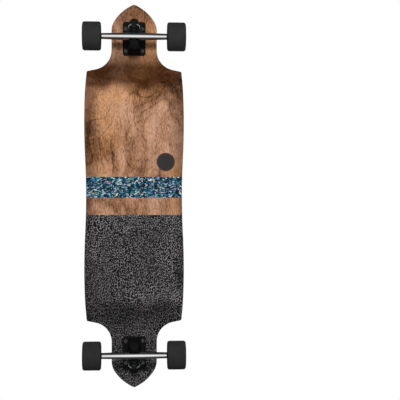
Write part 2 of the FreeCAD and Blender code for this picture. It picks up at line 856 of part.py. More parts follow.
# Hanger, in the steering frame: the axle runs along Y, a rake below the steering axis
def make_hanger(end):
    body = new_body(f"{end}_hanger")
    axle_plane = ("0", "0", "-rake")
    revolve_profile(
        body,
        "XY_Plane",
        [
            ("0", f"-{HANGER_HALF}"),
            ("tube_end_radius", f"-{HANGER_HALF}"),
            ("tube_mid_radius", "-tube_straight_half"),
            ("tube_mid_radius", "tube_straight_half"),
            ("tube_end_radius", HANGER_HALF),
            ("0", HANGER_HALF),
        ],
        shift=axle_plane,
    )
    wing = sketch_on(body, "XY_Plane", axle_plane)
    draw_polygon(wing, [
        ("0", f"wing_end_inset - {HANGER_HALF}"),
        ("wing_reach", "-ring_radius"),
        ("wing_reach", "ring_radius"),
        ("0", f"{HANGER_HALF} - wing_end_inset"),
    ])
    extrude(body, wing, "wing_thickness", symmetric=True)
    yoke = sketch_on(body, "XY_Plane", ("0", "0", "-rake / 2"))
    draw_polygon(yoke, [
        ("0", "-yoke_foot_half"),
        ("ring_reach", "-ring_radius"),
        ("ring_reach", "ring_radius"),
        ("0", "yoke_foot_half"),
    ])
    extrude(body, yoke, "yoke_thickness", symmetric=True)
    ring = sketch_on(body, "XY_Plane")
    draw_circle(ring, "ring_reach", "0", "ring_radius")
    extrude(body, ring, "ring_web + 2 * ring_lip_height", symmetric=True)
    revolve_profile(
        body,
        "XZ_Plane",
        [
            ("-pivot_tip", "0"),
            ("-pivot_tip", "pivot_tip_radius"),
            ("-housing_mouth", "pivot_base_radius"),
            ("0", "pivot_base_radius"),
            ("0", "0"),
        ],
        axis="H_Axis",
    )
    round_edges(body, "pivot_round", lambda edge: is_circle(edge, "pivot_tip_radius"))

    for side, reverse in (("1", True), ("-1", False)):
        seat = sketch_on(body, "XY_Plane", ("0", "0", f"{side} * ring_web / 2"))
        draw_circle(seat, "ring_reach", "0", "bushing_radius + seat_clearance")
        extrude(body, seat, "yoke_thickness", kind="Pocket", reverse=reverse)
    hole = sketch_on(body, "XY_Plane")
    draw_circle(hole, "ring_reach", "0", "ring_hole_radius")
    extrude(body, hole, "2 * yoke_thickness", kind="Pocket", symmetric=True)
    revolve_profile(
        body,
        "XY_Plane",
        [
            ("0", f"-{HANGER_HALF} - overrun"),
            (SHAFT_BORE, f"-{HANGER_HALF} - overrun"),
            (SHAFT_BORE, f"{HANGER_HALF} + overrun"),
            ("0", f"{HANGER_HALF} + overrun"),
        ],
        kind="Groove",
        shift=axle_plane,
    )
    stand_in_truck(body, end, STEER_X, STEER_HEIGHT, "-steer_angle")
    sub_part(body, f"{end}_hanger")


# Axle line
def make_axle(end):
    body = new_body(f"{end}_axle")
    revolve_profile(body, "XY_Plane", [
        ("0", "-axle_half_length"),
        ("axle_radius - axle_end_chamfer", "-axle_half_length"),
        ("axle_radius", "axle_end_chamfer - axle_half_length"),
        ("axle_radius", "axle_half_length - axle_end_chamfer"),
        ("axle_radius - axle_end_chamfer", "axle_half_length"),
        ("0", "axle_half_length"),
    ])
    stand_in_truck(body, end, "0", "wheel_diameter / 2")
    sub_part(body, f"{end}_axle")


def stand_on_axle(target, end, side, distance):
    """Place a piece that runs along +Z so that it starts on the axle and runs outward along Y."""
    roll = "-90" if side == "left" else "90"
    x = f"{ENDS[end][0]} * truck_spacing / 2"
    stand(target, x, f"{SIDES[side]} * ({distance})", "wheel_diameter / 2", roll=roll)


def make_axle_fittings(end):
    nuts, washers, spacers = [], [], []
    for side in SIDES:
        name = f"{end}_{side}"
        nut = make_lock_nut(
            f"{name}_axle_nut",
            "axle_nut_flats",
            "axle_nut_height",
            "axle_nut_collar_radius",
            "axle_nut_collar_height",
            SHAFT_BORE,
        )
        stand_on_axle(nut, end, side, NUT_SEAT)
        nuts.append(nut)
        for place, seat in (("inner", HANGER_HALF), ("outer", f"{NUT_SEAT} - speed_washer_thickness")):
            washer = make_ring(f"{name}_{place}_washer", SHAFT_BORE, "speed_washer_radius", "speed_washer_thickness")
            stand_on_axle(washer, end, side, seat)
            washers.append(washer)
        spacer = make_ring(f"{name}_spacer", SHAFT_BORE, "spacer_radius", "bearing_gap")
        stand_on_axle(spacer, end, side, f"{WHEEL_MIDDLE} - bearing_gap / 2")
        spacers.append(spacer)
    sub_part(compound(f"{end}_axle_nuts", nuts), f"{end}_axle_nuts")
    sub_part(compound(f"{end}_speed_washers", washers), f"{end}_speed_washers")
    sub_part(compound(f"{end}_bearing_spacers", spacers), f"{end}_bearing_spacers")


# Bearings, each in a frame with its own middle at the origin and its axis along Y
def make_race(name, bore, radius):
    body = new_body(name)
    revolve_profile(body, "XY_Plane", [
        (bore, "-bearing_width / 2"),
        (radius, "-bearing_width / 2"),
        (radius, "bearing_width / 2"),
        (bore, "bearing_width / 2"),
    ])
    groove = sketch_on(body, "XY_Plane")
    draw_circle(groove, "ball_circle_radius", "0", "ball_radius + race_groove_clearance")
    revolve(body, groove, kind="Groove")
    return body


def stand_bearing(target, end, side, place):
    x = f"{ENDS[end][0]} * truck_spacing / 2"
    y = f"{SIDES[side]} * ({WHEEL_MIDDLE} + {place} * {BEARING_MIDDLE})"
    stand(target, x, y, "wheel_diameter / 2")
    return target


BEARINGS = {"inner": "-1", "outer": "1"}


def make_inner_races(end):
    races = []
    for side in SIDES:
        for place, sign in BEARINGS.items():
            race = make_race(f"{end}_{side}_{place}_inner_race", SHAFT_BORE, "inner_race_radius")
            races.append(stand_bearing(race, end, side, sign))
    sub_part(compound(f"{end}_bearing_inner_races", races), f"{end}_bearing_inner_races")


def make_wheel_bearings(end, side):
    name = f"{end}_{side}"
    races, balls, shields = [], [], []
    for place, sign in BEARINGS.items():
        race = make_race(f"{name}_{place}_outer_race", "outer_race_bore_radius", "bearing_radius")
        races.append(stand_bearing(race, end, side, sign))
        for step in range(BALL_COUNT):
            ball = doc.addObject("Part::Sphere", f"{name}_{place}_ball_{step}")
            bind(ball, "Radius", "ball_radius")
            turn = FULL_TURN / BALL_COUNT * step
            stand(
                ball,
                f"{ENDS[end][0]} * truck_spacing / 2 + ball_circle_radius * cos({turn})",
                f"{SIDES[side]} * ({WHEEL_MIDDLE} + {sign} * {BEARING_MIDDLE})",
                f"wheel_diameter / 2 + ball_circle_radius * sin({turn})",
            )
            balls.append(ball)
        for face in ("-1", "1"):
            shield = make_ring(
                f"{name}_{place}_shield",
                "inner_race_radius + shield_clearance",
                "outer_race_bore_radius - bond_line",
                "shield_thickness",
            )
            seat = f"{WHEEL_MIDDLE} + {sign} * {BEARING_MIDDLE} + {face} * (bearing_width - shield_thickness) / 2"
            stand_on_axle(shield, end, side, f"{seat} - shield_thickness / 2")
            shields.append(shield)
    sub_part(compound(f"{name}_bearing_outer_races", races), f"{name}_bearing_outer_races")
    sub_part(compound(f"{name}_bearing_balls", balls), f"{name}_bearing_balls")
    sub_part(compound(f"{name}_bearing_shields", shields), f"{name}_bearing_shields")


# Wheels
def stand_wheel(target, end, side):
    yaw = "0" if side == "left" else "180"
    x = f"{ENDS[end][0]} * truck_spacing / 2"
    stand(target, x, f"{SIDES[side]} * {WHEEL_MIDDLE}", "wheel_diameter / 2", yaw)


def make_wheel(end, side):
    name = f"{end}_{side}"
    tyre = new_body(f"{name}_wheel")
    revolve_profile(tyre, "XY_Plane", [
        ("core_radius", "-core_half_width"),
        ("wheel_face_radius", "-wheel_width / 2"),
        ("wheel_diameter / 2", "-wheel_width / 2"),
        ("wheel_diameter / 2", "wheel_width / 2"),
        ("wheel_face_radius", "wheel_width / 2"),
        ("core_radius", "core_half_width"),
    ])
    round_edges(tyre, "wheel_lip_radius", lambda edge: is_circle(edge, "wheel_diameter / 2"))
    stand_wheel(tyre, end, side)
    sub_part(tyre, f"{name}_wheel")

    core = new_body(f"{name}_core")
    seat = "(bearing_radius + bearing_seat_clearance)"
    rim = "(core_radius - bond_line)"
    revolve_profile(core, "XY_Plane", [
        ("core_rib_radius", "-bearing_gap / 2"),
        (seat, "-bearing_gap / 2"),
        (seat, "-core_half_width"),
        (rim, "-core_half_width"),
        (rim, "core_half_width"),
        (seat, "core_half_width"),
        (seat, "bearing_gap / 2"),
        ("core_rib_radius", "bearing_gap / 2"),
    ])
    cut_core_windows(core)
    stand_wheel(core, end, side)
    sub_part(core, f"{name}_core")


def cut_core_windows(core):
    """Shallow windows between the spokes in both faces of the core."""
    near = "(bearing_radius + bearing_seat_clearance + core_window_wall)"
    far = "(core_radius - core_window_wall)"
    for face, reverse in (("1", True), ("-1", False)):
        sketch = sketch_on(core, "XZ_Plane", ("0", "0", f"{face} * core_half_width"))
        for step in range(CORE_WINDOW_COUNT):
            middle = FULL_TURN / CORE_WINDOW_COUNT * step
            corners = []
            for radius, sign in ((near, "-"), (far, "-"), (far, "+"), (near, "+")):
                turn = f"({middle} {sign} core_window_half_angle)"
                corners.append((f"{radius} * cos{turn}", f"{radius} * sin{turn}"))
            draw_polygon(sketch, corners)
        extrude(core, sketch, "core_window_depth", kind="Pocket", reverse=not reverse)


def write_sub_parts():
    os.makedirs("parts", exist_ok=True)
    doc.recompute()
    for target in sub_parts:
        shape = target.Shape
        if shape.isNull() or not shape.isValid() or "Invalid" in target.State or "Error" in target.State:
            raise RuntimeError(f"{target.Label} did not build: {target.State}")
        shape.exportStep(f"parts/{target.Label}.step")
        print(target.Label, len(shape.Solids), "solids,", round(shape.Volume, 1), "mm3")


def main():
    make_deck()
    make_deck_fasteners()
    for end in ENDS:
        make_baseplate(end)
        make_pivot_cup(end)
        make_kingpin(end)
        make_kingpin_nut(end)
        make_bushings(end)
        make_cup_washers(end)
        make_hanger(end)
        make_axle(end)
        make_axle_fittings(end)
        make_inner_races(end)
        for side in SIDES:
            make_wheel(end, side)
            make_wheel_bearings(end, side)
    write_sub_parts()


main()
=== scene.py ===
"""Looks of a dropped-platform longboard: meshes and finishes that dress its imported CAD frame, in metres."""

import json
import logging
import math
from abc import ABC, abstractmethod
from contextlib import contextmanager
from dataclasses import dataclass, field
from enum import Enum
from typing import Any, Callable, Iterable, Iterator, Optional, Sequence

import bmesh
import bpy
import numpy as np
from mathutils import Matrix, Vector


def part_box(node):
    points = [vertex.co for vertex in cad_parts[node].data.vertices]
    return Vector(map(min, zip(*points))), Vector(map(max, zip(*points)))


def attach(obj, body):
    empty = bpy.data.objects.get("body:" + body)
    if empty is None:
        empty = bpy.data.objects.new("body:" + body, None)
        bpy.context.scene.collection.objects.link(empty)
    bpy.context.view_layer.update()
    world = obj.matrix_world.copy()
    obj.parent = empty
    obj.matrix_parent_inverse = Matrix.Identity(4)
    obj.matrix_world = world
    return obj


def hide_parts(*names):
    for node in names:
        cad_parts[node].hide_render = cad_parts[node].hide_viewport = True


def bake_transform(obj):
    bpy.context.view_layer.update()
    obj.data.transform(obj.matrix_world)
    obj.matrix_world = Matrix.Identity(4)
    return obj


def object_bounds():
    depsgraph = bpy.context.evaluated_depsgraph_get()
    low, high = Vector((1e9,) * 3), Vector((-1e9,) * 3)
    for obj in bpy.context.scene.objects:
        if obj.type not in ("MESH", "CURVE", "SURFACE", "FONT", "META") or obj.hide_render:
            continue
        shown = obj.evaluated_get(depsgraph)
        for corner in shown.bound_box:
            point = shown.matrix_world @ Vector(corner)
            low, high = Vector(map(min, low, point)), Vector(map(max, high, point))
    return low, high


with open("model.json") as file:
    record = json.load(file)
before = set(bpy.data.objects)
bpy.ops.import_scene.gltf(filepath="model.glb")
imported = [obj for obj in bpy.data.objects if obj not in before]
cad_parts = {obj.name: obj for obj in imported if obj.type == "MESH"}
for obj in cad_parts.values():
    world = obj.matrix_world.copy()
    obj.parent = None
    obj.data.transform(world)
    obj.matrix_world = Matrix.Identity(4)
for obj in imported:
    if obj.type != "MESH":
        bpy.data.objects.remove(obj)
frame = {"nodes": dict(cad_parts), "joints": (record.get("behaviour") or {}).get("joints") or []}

LOG = logging.getLogger("longboard")
CAD_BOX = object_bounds()

Colour = tuple[float, float, float]
Point = tuple[float, float, float]
Place = Sequence[float]
Marks = tuple[float, float]
Edges = tuple[np.ndarray, np.ndarray]
Span = Callable[[np.ndarray, np.ndarray], Edges]
Socket = bpy.types.NodeSocket
Look = tuple[Socket, Socket]
Piece = bpy.types.Object

BOARD = "board"
KINGPIN_SIDES = (("boardside", 1.0), ("roadside", -1.0))
BOLT_HEAD_RADIUS = 0.0045
MERGE_DISTANCE = 1e-6
FLAT_ANGLE = 0.5
SMOOTH_ANGLE = 38.0
BEVEL_STEPS = 2
BEVEL_ANGLE = 35.0
BEVEL_SMOOTH_ANGLE = 30.0
THREAD_DEPTH_SHARE = 0.3


class End(Enum):
    """The two ends of the board, each with its truck."""

    FRONT = "front"
    REAR = "rear"

    @property
    def word(self) -> str:
        """The name that the end's nodes start with."""
        return self.value

    @property
    def hanger_body(self) -> str:
        """The CAD body that steers at this end."""
        return f"{self.word}_hanger_assembly"


class Side(Enum):
    """The two sides of the board, each with its sign of Y."""

    LEFT = ("left", 1.0)
    RIGHT = ("right", -1.0)

    @property
    def word(self) -> str:
        """The name used in node names."""
        return self.value[0]

    @property
    def sign(self) -> float:
        """Sign of Y on this side."""
        return self.value[1]


# Node trees
@dataclass(frozen=True)
class Noise:
    """One noise texture: waves to the metre, stretch along each axis, detail and distortion."""

    scale: float = 1.0
    stretch: Point = (1.0, 1.0, 1.0)
    detail: float = 2.0
    distortion: float = 0.0


class Graph:
    """Lays nodes into one node tree and links them."""

    noise_middle: Point = (0.5, 0.5, 0.5)

    def __init__(self, tree: bpy.types.NodeTree) -> None:
        """Keep the tree that the nodes go into."""
        self.tree = tree

    def node(self, kind: str, inputs: Optional[dict] = None, **settings: Any) -> bpy.types.Node:
        """Add a node, set its options and feed its inputs.

        Args:
            kind: Blender's name of the node type.
            inputs: Constants or sockets by input name or number.
            **settings: Node properties to set first.

        Returns:
            The new node.
        """
        node = self.tree.nodes.new(kind)
        for name, value in settings.items():
            setattr(node, name, value)
        for key, value in (inputs or {}).items():
            self.feed(node.inputs[key], value)
        return node

    def feed(self, socket: Socket, value: Any) -> None:
        """Link a socket to an input, or set the input's own value.

        Args:
            socket: The input to feed.
            value: A socket, a number, or a colour or vector.
        """
        if isinstance(value, Socket):
            self.tree.links.new(value, socket)
        elif socket.type == "RGBA":
            socket.default_value = (*value[:3], 1.0)
        else:
            socket.default_value = value

    def first(self, kind: str, inputs: Optional[dict] = None, **settings: Any) -> Socket:
        """The first output of a new node, from the arguments that the node method takes."""
        return self.node(kind, inputs, **settings).outputs[0]

    def math(self, operation: str, *values: Any) -> Socket:
        """One arithmetic step on values or sockets."""
        return self.first("ShaderNodeMath", dict(enumerate(values)), operation=operation)

    def times(self, *values: Any) -> Socket:
        """The product of values or sockets."""
        product = values[0]
        for value in values[1:]:
            product = self.math("MULTIPLY", product, value)
        return product

    def axes(self, vector: Socket) -> Sequence[Socket]:
        """The three parts of a vector."""
        return self.node("ShaderNodeSeparateXYZ", {0: vector}).outputs

    def vector(self, operation: str, *values: Any) -> Socket:
        """One vector step on values or sockets."""
        node = self.node("ShaderNodeVectorMath", operation=operation)
        for index, value in enumerate(values):
            self.feed(node.inputs["Scale" if operation == "SCALE" and index else index], value)
        return node.outputs["Value" if operation == "LENGTH" else "Vector"]

    def mix(self, factor: Any, first: Any, second: Any, blend: str = "MIX") -> Socket:
        """Mix two colours.

        Args:
            factor: Share of the second colour.
            first: Colour or socket at factor 0.
            second: Colour or socket at factor 1.
            blend: Blender's blend type.

        Returns:
            The colour socket.
        """
        shares = {0: factor, 6: first, 7: second}
        return self.node("ShaderNodeMix", shares, data_type="RGBA", blend_type=blend).outputs[2]

    def step(self, value: Any, low: float, high: float, floor: float = 0.0, ceiling: float = 1.0) -> Socket:
        """A smooth step between two marks; a high mark below the low one falls.

        Args:
            value: Socket to measure.
            low: Mark where the step starts.
            high: Mark where it ends.
            floor: Result at the low mark.
            ceiling: Result at the high mark.

        Returns:
            The result's socket.
        """
        return self.first(
            "ShaderNodeMapRange",
            {"Value": value, "From Min": low, "From Max": high, "To Min": floor, "To Max": ceiling},
            interpolation_type="SMOOTHSTEP",
        )

    def noise(self, vector: Any, form: Noise, scale: Any = None, output: str = "Fac") -> Socket:
        """A noise texture.

        Args:
            vector: Coordinates.
            form: Its scale, stretch, detail and distortion.
            scale: Takes the place of the form's own scale.
            output: Fac for values, or Color for three values at once.

        Returns:
            The chosen output.
        """
        values = {
            "Vector": self.stretched(vector, form.stretch),
            "Scale": form.scale if scale is None else scale,
            "Detail": form.detail,
            "Distortion": form.distortion,
        }
        return self.node("ShaderNodeTexNoise", values).outputs[output]

    def stretched(self, vector: Any, scale: Point, turn: float = 0.0) -> Socket:
        """A copy of the coordinates, turned about Z and stretched along each axis."""
        values = {"Vector": vector, "Rotation": (0.0, 0.0, turn), "Scale": scale}
        return self.first("ShaderNodeMapping", values)

    def warped(self, vector: Any, scale: float, reach: float) -> Socket:
        """The coordinates, pushed about by noise.

        Args:
            vector: Coordinates to move.
            scale: Waves to the metre.
            reach: Farthest push, in metres.

        Returns:
            The moved coordinates.
        """
        swing = self.vector("SUBTRACT", self.noise(vector, Noise(scale), output="Color"), self.noise_middle)
        return self.vector("ADD", vector, self.vector("SCALE", swing, reach))

    def bands(self, factor: Any, stops: Sequence[tuple[float, Colour]]) -> Socket:
        """A ramp of flat colour bands.

        Args:
            factor: Where on the ramp.
            stops: Where each band starts, and its colour.

        Returns:
            The colour socket.
        """
        node = self.node("ShaderNodeValToRGB", {0: factor})
        node.color_ramp.interpolation = "CONSTANT"
        elements = node.color_ramp.elements
        while len(elements) < len(stops):
            elements.new(1.0)
        for element, (place, colour) in zip(elements, stops):
            element.position = place
            element.color = (*colour, 1.0)
        return node.outputs["Color"]


class SocketKind(Enum):
    """Kinds of socket that a node group shows."""

    VALUE = "NodeSocketFloat"
    COUNT = "NodeSocketInt"
    COLOUR = "NodeSocketColor"
    VECTOR = "NodeSocketVector"
    GEOMETRY = "NodeSocketGeometry"
    MATERIAL = "NodeSocketMaterial"


class Recipe(ABC):
    """A node group with named inputs and outputs."""

    kind: str = ""
    name: str = ""
    inputs: dict[str, tuple[SocketKind, Any]] = {}
    outputs: dict[str, SocketKind] = {}

    def tree(self) -> bpy.types.NodeTree:
        """The group, built the first time that it is asked for."""
        made = bpy.data.node_groups.get(self.name)
        if made is not None:
            return made
        tree = bpy.data.node_groups.new(self.name, self.kind)
        for label, (kind, default) in self.inputs.items():
            socket = tree.interface.new_socket(label, in_out="INPUT", socket_type=kind.value)
            if default is not None:
                socket.default_value = (*default, 1.0) if kind is SocketKind.COLOUR else default
        for label, kind in self.outputs.items():
            tree.interface.new_socket(label, in_out="OUTPUT", socket_type=kind.value)
        graph = Graph(tree)
        entry = graph.node("NodeGroupInput").outputs
        graph.node("NodeGroupOutput", self.build(graph, entry))
        return tree

    @abstractmethod
    def build(self, graph: Graph, entry: Any) -> dict[str, Socket]:
        """Lay the group's nodes.

        Args:
            graph: The group's tree.
            entry: Sockets of the group's inputs.

        Returns:
            A socket for each output.
        """


class Effect(Recipe):
    """A shader node group that several finishes share."""

    kind = "ShaderNodeTree"

    def place(self, graph: Graph, **values: Any) -> Any:
        """Put the group into a material.

        Args:
            graph: The material's tree.
            **values: Constants or sockets for its inputs.

        Returns:
            The group node's outputs.
        """
        return graph.node("ShaderNodeGroup", values, node_tree=self.tree()).outputs


class HandlingMarks(Effect):
    """Uneven gloss from hands, wiping and light dust."""

    name = "handling_marks"
    inputs = {
        "Vector": (SocketKind.VECTOR, None),
        "Roughness": (SocketKind.VALUE, 0.5),
        "Spread": (SocketKind.VALUE, 0.1),
    }
    outputs = {"Roughness": SocketKind.VALUE}
    patches = Noise(15.0, detail=4.0)
    wipes = Noise(90.0, (0.15, 1.0, 1.0))
    wipe_share = 0.6
    middle = 0.8

    def build(self, graph: Graph, entry: Any) -> dict[str, Socket]:
        """Add broad patches and fine wipe lines to the roughness."""
        patches = graph.noise(entry["Vector"], self.patches)
        wipes = graph.noise(entry["Vector"], self.wipes)
        marks = graph.math("MULTIPLY_ADD", wipes, self.wipe_share, patches)
        swing = graph.math("SUBTRACT", marks, self.middle)
        return {"Roughness": graph.math("MULTIPLY_ADD", swing, entry["Spread"], entry["Roughness"])}


class CastSkin(Effect):
    """Fine grain of a sand-cast or moulded surface."""

    name = "cast_skin"
    inputs = {"Vector": (SocketKind.VECTOR, None), "Grains": (SocketKind.VALUE, 800.0)}
    outputs = {"Height": SocketKind.VALUE, "Tone": SocketKind.VALUE}
    grain = Noise(detail=3.0)
    lumps = Noise()
    lump_share = 0.12

    def build(self, graph: Graph, entry: Any) -> dict[str, Socket]:
        """Fine grain on slow lumps."""
        grain = graph.noise(entry["Vector"], self.grain, entry["Grains"])
        lumps = graph.noise(entry["Vector"], self.lumps, graph.times(entry["Grains"], self.lump_share))
        return {"Height": graph.math("ADD", grain, lumps), "Tone": lumps}


class PolishLines(Effect):
    """Fine lines that a polishing wheel or a lathe leaves across an axle line."""

    name = "polish_lines"
    inputs = {"Vector": (SocketKind.VECTOR, None), "Lines": (SocketKind.VALUE, 1400.0)}
    outputs = {"Height": SocketKind.VALUE}
    lines = Noise(stretch=(0.03, 1.0, 0.03), detail=3.0)

    def build(self, graph: Graph, entry: Any) -> dict[str, Socket]:
        """Noise that changes along Y far faster than across it."""
        return {"Height": graph.noise(entry["Vector"], self.lines, entry["Lines"])}


class VeneerFigure(Effect):
    """Figured brown veneer with its grain along the board."""

    name = "veneer_figure"
    inputs = {
        "Vector": (SocketKind.VECTOR, None),
        "Dark": (SocketKind.COLOUR, (0.1, 0.05, 0.02)),
        "Middle": (SocketKind.COLOUR, (0.3, 0.16, 0.09)),
        "Light": (SocketKind.COLOUR, (0.5, 0.3, 0.18)),
        "Heart": (SocketKind.VALUE, 0.0),
    }
    outputs = {"Color": SocketKind.COLOUR, "Height": SocketKind.VALUE}
    warp_scale = 6.0
    warp_reach = 0.08
    clouds = Noise(9.0, (0.55, 1.0, 1.0), 3.0, 1.4)
    cloud_share = 0.62
    flames = Noise(30.0, (1.3, 0.6, 1.0), 3.0, 0.8)
    flame_share = 0.12
    ring_field = Noise(6.0, (0.6, 1.0, 1.0), 1.0)
    ring_turns = 75.0
    ring_marks = (0.30, 0.0)
    ring_parts = Noise(9.0)
    ring_parts_marks = (0.46, 0.58)
    ring_share = 0.07
    lines = Noise(260.0, (0.09, 1.0, 1.0), 3.0)
    line_marks = (0.34, 0.66)
    line_range = (0.93, 1.12)
    line_share = 0.06
    grain = Noise(330.0, (0.45, 1.0, 1.0), 3.0)
    speck_marks = (0.34, 0.66)
    speck_share = 0.06
    dark_marks = (0.25, 0.43)
    light_marks = (0.36, 0.54)
    pit_marks = (0.80, 1.0)
    pit_depth = 0.28
    warmth = Noise(6.0)
    gold_marks = (0.46, 0.70)
    gold: Colour = (1.0, 0.90, 0.68)
    heart_tint: Colour = (0.14, 0.096, 0.064)
    streak_marks = (0.40, 0.62)
    streak_floor = 0.92
    fibres = Noise(1500.0, (0.045, 1.0, 1.0), 4.0)
    fibre_marks = (0.32, 0.68)
    fibre_range = (0.74, 1.16)

    def build(self, graph: Graph, entry: Any) -> dict[str, Socket]:
        """Clouds, cross flames, thin rings, grain lines and specks, mixed into one tone."""
        bent = graph.warped(entry["Vector"], self.warp_scale, self.warp_reach)
        clouds = graph.noise(bent, self.clouds)
        flames = graph.noise(bent, self.flames)
        turns = graph.times(graph.noise(bent, self.ring_field), self.ring_turns)
        waves = graph.math("ABSOLUTE", graph.math("SINE", turns))
        parts = graph.step(graph.noise(bent, self.ring_parts), *self.ring_parts_marks)
        rings = graph.times(graph.step(waves, *self.ring_marks), parts)
        lines = graph.noise(bent, self.lines)
        specks = graph.step(graph.noise(entry["Vector"], self.grain), *self.speck_marks)
        tone = graph.math("MULTIPLY_ADD", clouds, self.cloud_share, self.speck_share)
        for part, share in (
            (flames, self.flame_share),
            (rings, -self.ring_share),
            (lines, self.line_share),
            (specks, -self.speck_share),
        ):
            tone = graph.math("MULTIPLY_ADD", part, share, tone)
        colour = graph.mix(graph.step(tone, *self.dark_marks), entry["Dark"], entry["Middle"])
        colour = graph.mix(graph.step(tone, *self.light_marks), colour, entry["Light"])
        pits = graph.step(specks, *self.pit_marks)
        colour = graph.mix(graph.times(pits, self.pit_depth), colour, entry["Dark"])
        warm = graph.step(graph.noise(bent, self.warmth), *self.gold_marks)
        colour = graph.mix(warm, colour, self.gold, blend="MULTIPLY")
        # Painted shade: darken where the heartwood-and-shade mask is set, across the deck's bends, streaked
        # by the flames.
        streaks = graph.step(flames, *self.streak_marks, 1.0, self.streak_floor)
        heart_and_shade = graph.times(entry["Heart"], streaks)
        colour = graph.mix(heart_and_shade, colour, self.heart_tint, blend="MULTIPLY")
        fibres = graph.noise(bent, self.fibres)
        stripes = graph.step(lines, *self.line_marks, *self.line_range)
        shade = graph.times(stripes, graph.step(fibres, *self.fibre_marks, *self.fibre_range))
        colour = graph.mix(1.0, colour, shade, blend="MULTIPLY")
        return {"Color": colour, "Height": graph.math("SUBTRACT", fibres, pits)}


class HeartWood(Effect):
    """Painted shade across both bends of the deck, where the slopes turn from the light, laid as dark
    heartwood; also darker along the rims and a little towards the tips.
    """

    name = "heartwood_and_bend_shade"
    inputs = {"Vector": (SocketKind.VECTOR, None)}
    outputs = {"Mask": SocketKind.VALUE}
    warp_scale = 14.0
    warp_reach = 0.05
    rise_marks = (0.245, 0.285)
    fall_marks = (0.385, 0.322)
    rim_marks = (0.080, 0.122)
    rim_share = 0.70
    tip_marks = (0.38, 0.47)
    tip_share = 0.2

    def build(self, graph: Graph, entry: Any) -> dict[str, Socket]:
        """Bands along and across the board, with wandering edges."""
        bent = graph.warped(entry["Vector"], self.warp_scale, self.warp_reach)
        spot = graph.axes(bent)
        along = graph.math("ABSOLUTE", spot[0])
        bends = graph.times(graph.step(along, *self.rise_marks), graph.step(along, *self.fall_marks))
        rims = graph.times(graph.step(graph.math("ABSOLUTE", spot[1]), *self.rim_marks), self.rim_share)
        tips = graph.times(graph.step(along, *self.tip_marks), self.tip_share)
        return {"Mask": graph.math("MAXIMUM", graph.math("MAXIMUM", bends, rims), tips)}


@dataclass(frozen=True)
class FleckLayer:
    """One layer of flecks in the print."""

    turn: float
    stretch: float
    scale_share: float
    radius: float
    keep: float


class FleckPrint(Effect):
    """A scatter of small rounded flecks in cool colours over a dark ground."""

    name = "fleck_print"
    inputs = {
        "Vector": (SocketKind.VECTOR, None),
        "Cells": (SocketKind.VALUE, 290.0),
        "Ground": (SocketKind.COLOUR, (0.006, 0.016, 0.030)),
    }
    outputs = {"Color": SocketKind.COLOUR}
    warp_scale = 26.0
    warp_reach = 0.03
    soft_edge = 0.12
    palette: Sequence[tuple[float, Colour]] = (
        (0.0, (0.012, 0.045, 0.10)),
        (0.20, (0.015, 0.12, 0.16)),
        (0.38, (0.035, 0.20, 0.36)),
        (0.55, (0.10, 0.36, 0.44)),
        (0.66, (0.26, 0.28, 0.48)),
        (0.77, (0.60, 0.68, 0.70)),
        (0.87, (0.24, 0.50, 0.32)),
        (0.91, (0.62, 0.30, 0.38)),
        (0.955, (0.72, 0.64, 0.30)),
    )
    layers: Sequence[FleckLayer] = (
        FleckLayer(0.4, 0.50, 0.70, 0.44, 0.55),
        FleckLayer(1.3, 0.45, 0.90, 0.42, 0.45),
        FleckLayer(2.3, 0.50, 1.0, 0.40, 0.50),
        FleckLayer(2.9, 0.60, 1.3, 0.36, 0.60),
    )

    def build(self, graph: Graph, entry: Any) -> dict[str, Socket]:
        """Lay the flecks of each layer over the one before."""
        bent = graph.warped(entry["Vector"], self.warp_scale, self.warp_reach)
        colour = entry["Ground"]
        for layer in self.layers:
            cells = graph.node(
                "ShaderNodeTexVoronoi",
                {
                    "Vector": graph.stretched(bent, (1.0, layer.stretch, 1.0), layer.turn),
                    "Scale": graph.times(entry["Cells"], layer.scale_share),
                },
                voronoi_dimensions="2D",
            )
            parts = graph.node("ShaderNodeSeparateColor", {0: cells.outputs["Color"]}).outputs
            inside = graph.step(cells.outputs["Distance"], layer.radius, layer.radius - self.soft_edge)
            shown = graph.times(inside, graph.math("GREATER_THAN", parts[1], layer.keep))
            colour = graph.mix(shown, colour, graph.bands(parts[0], self.palette))
        return {"Color": colour}


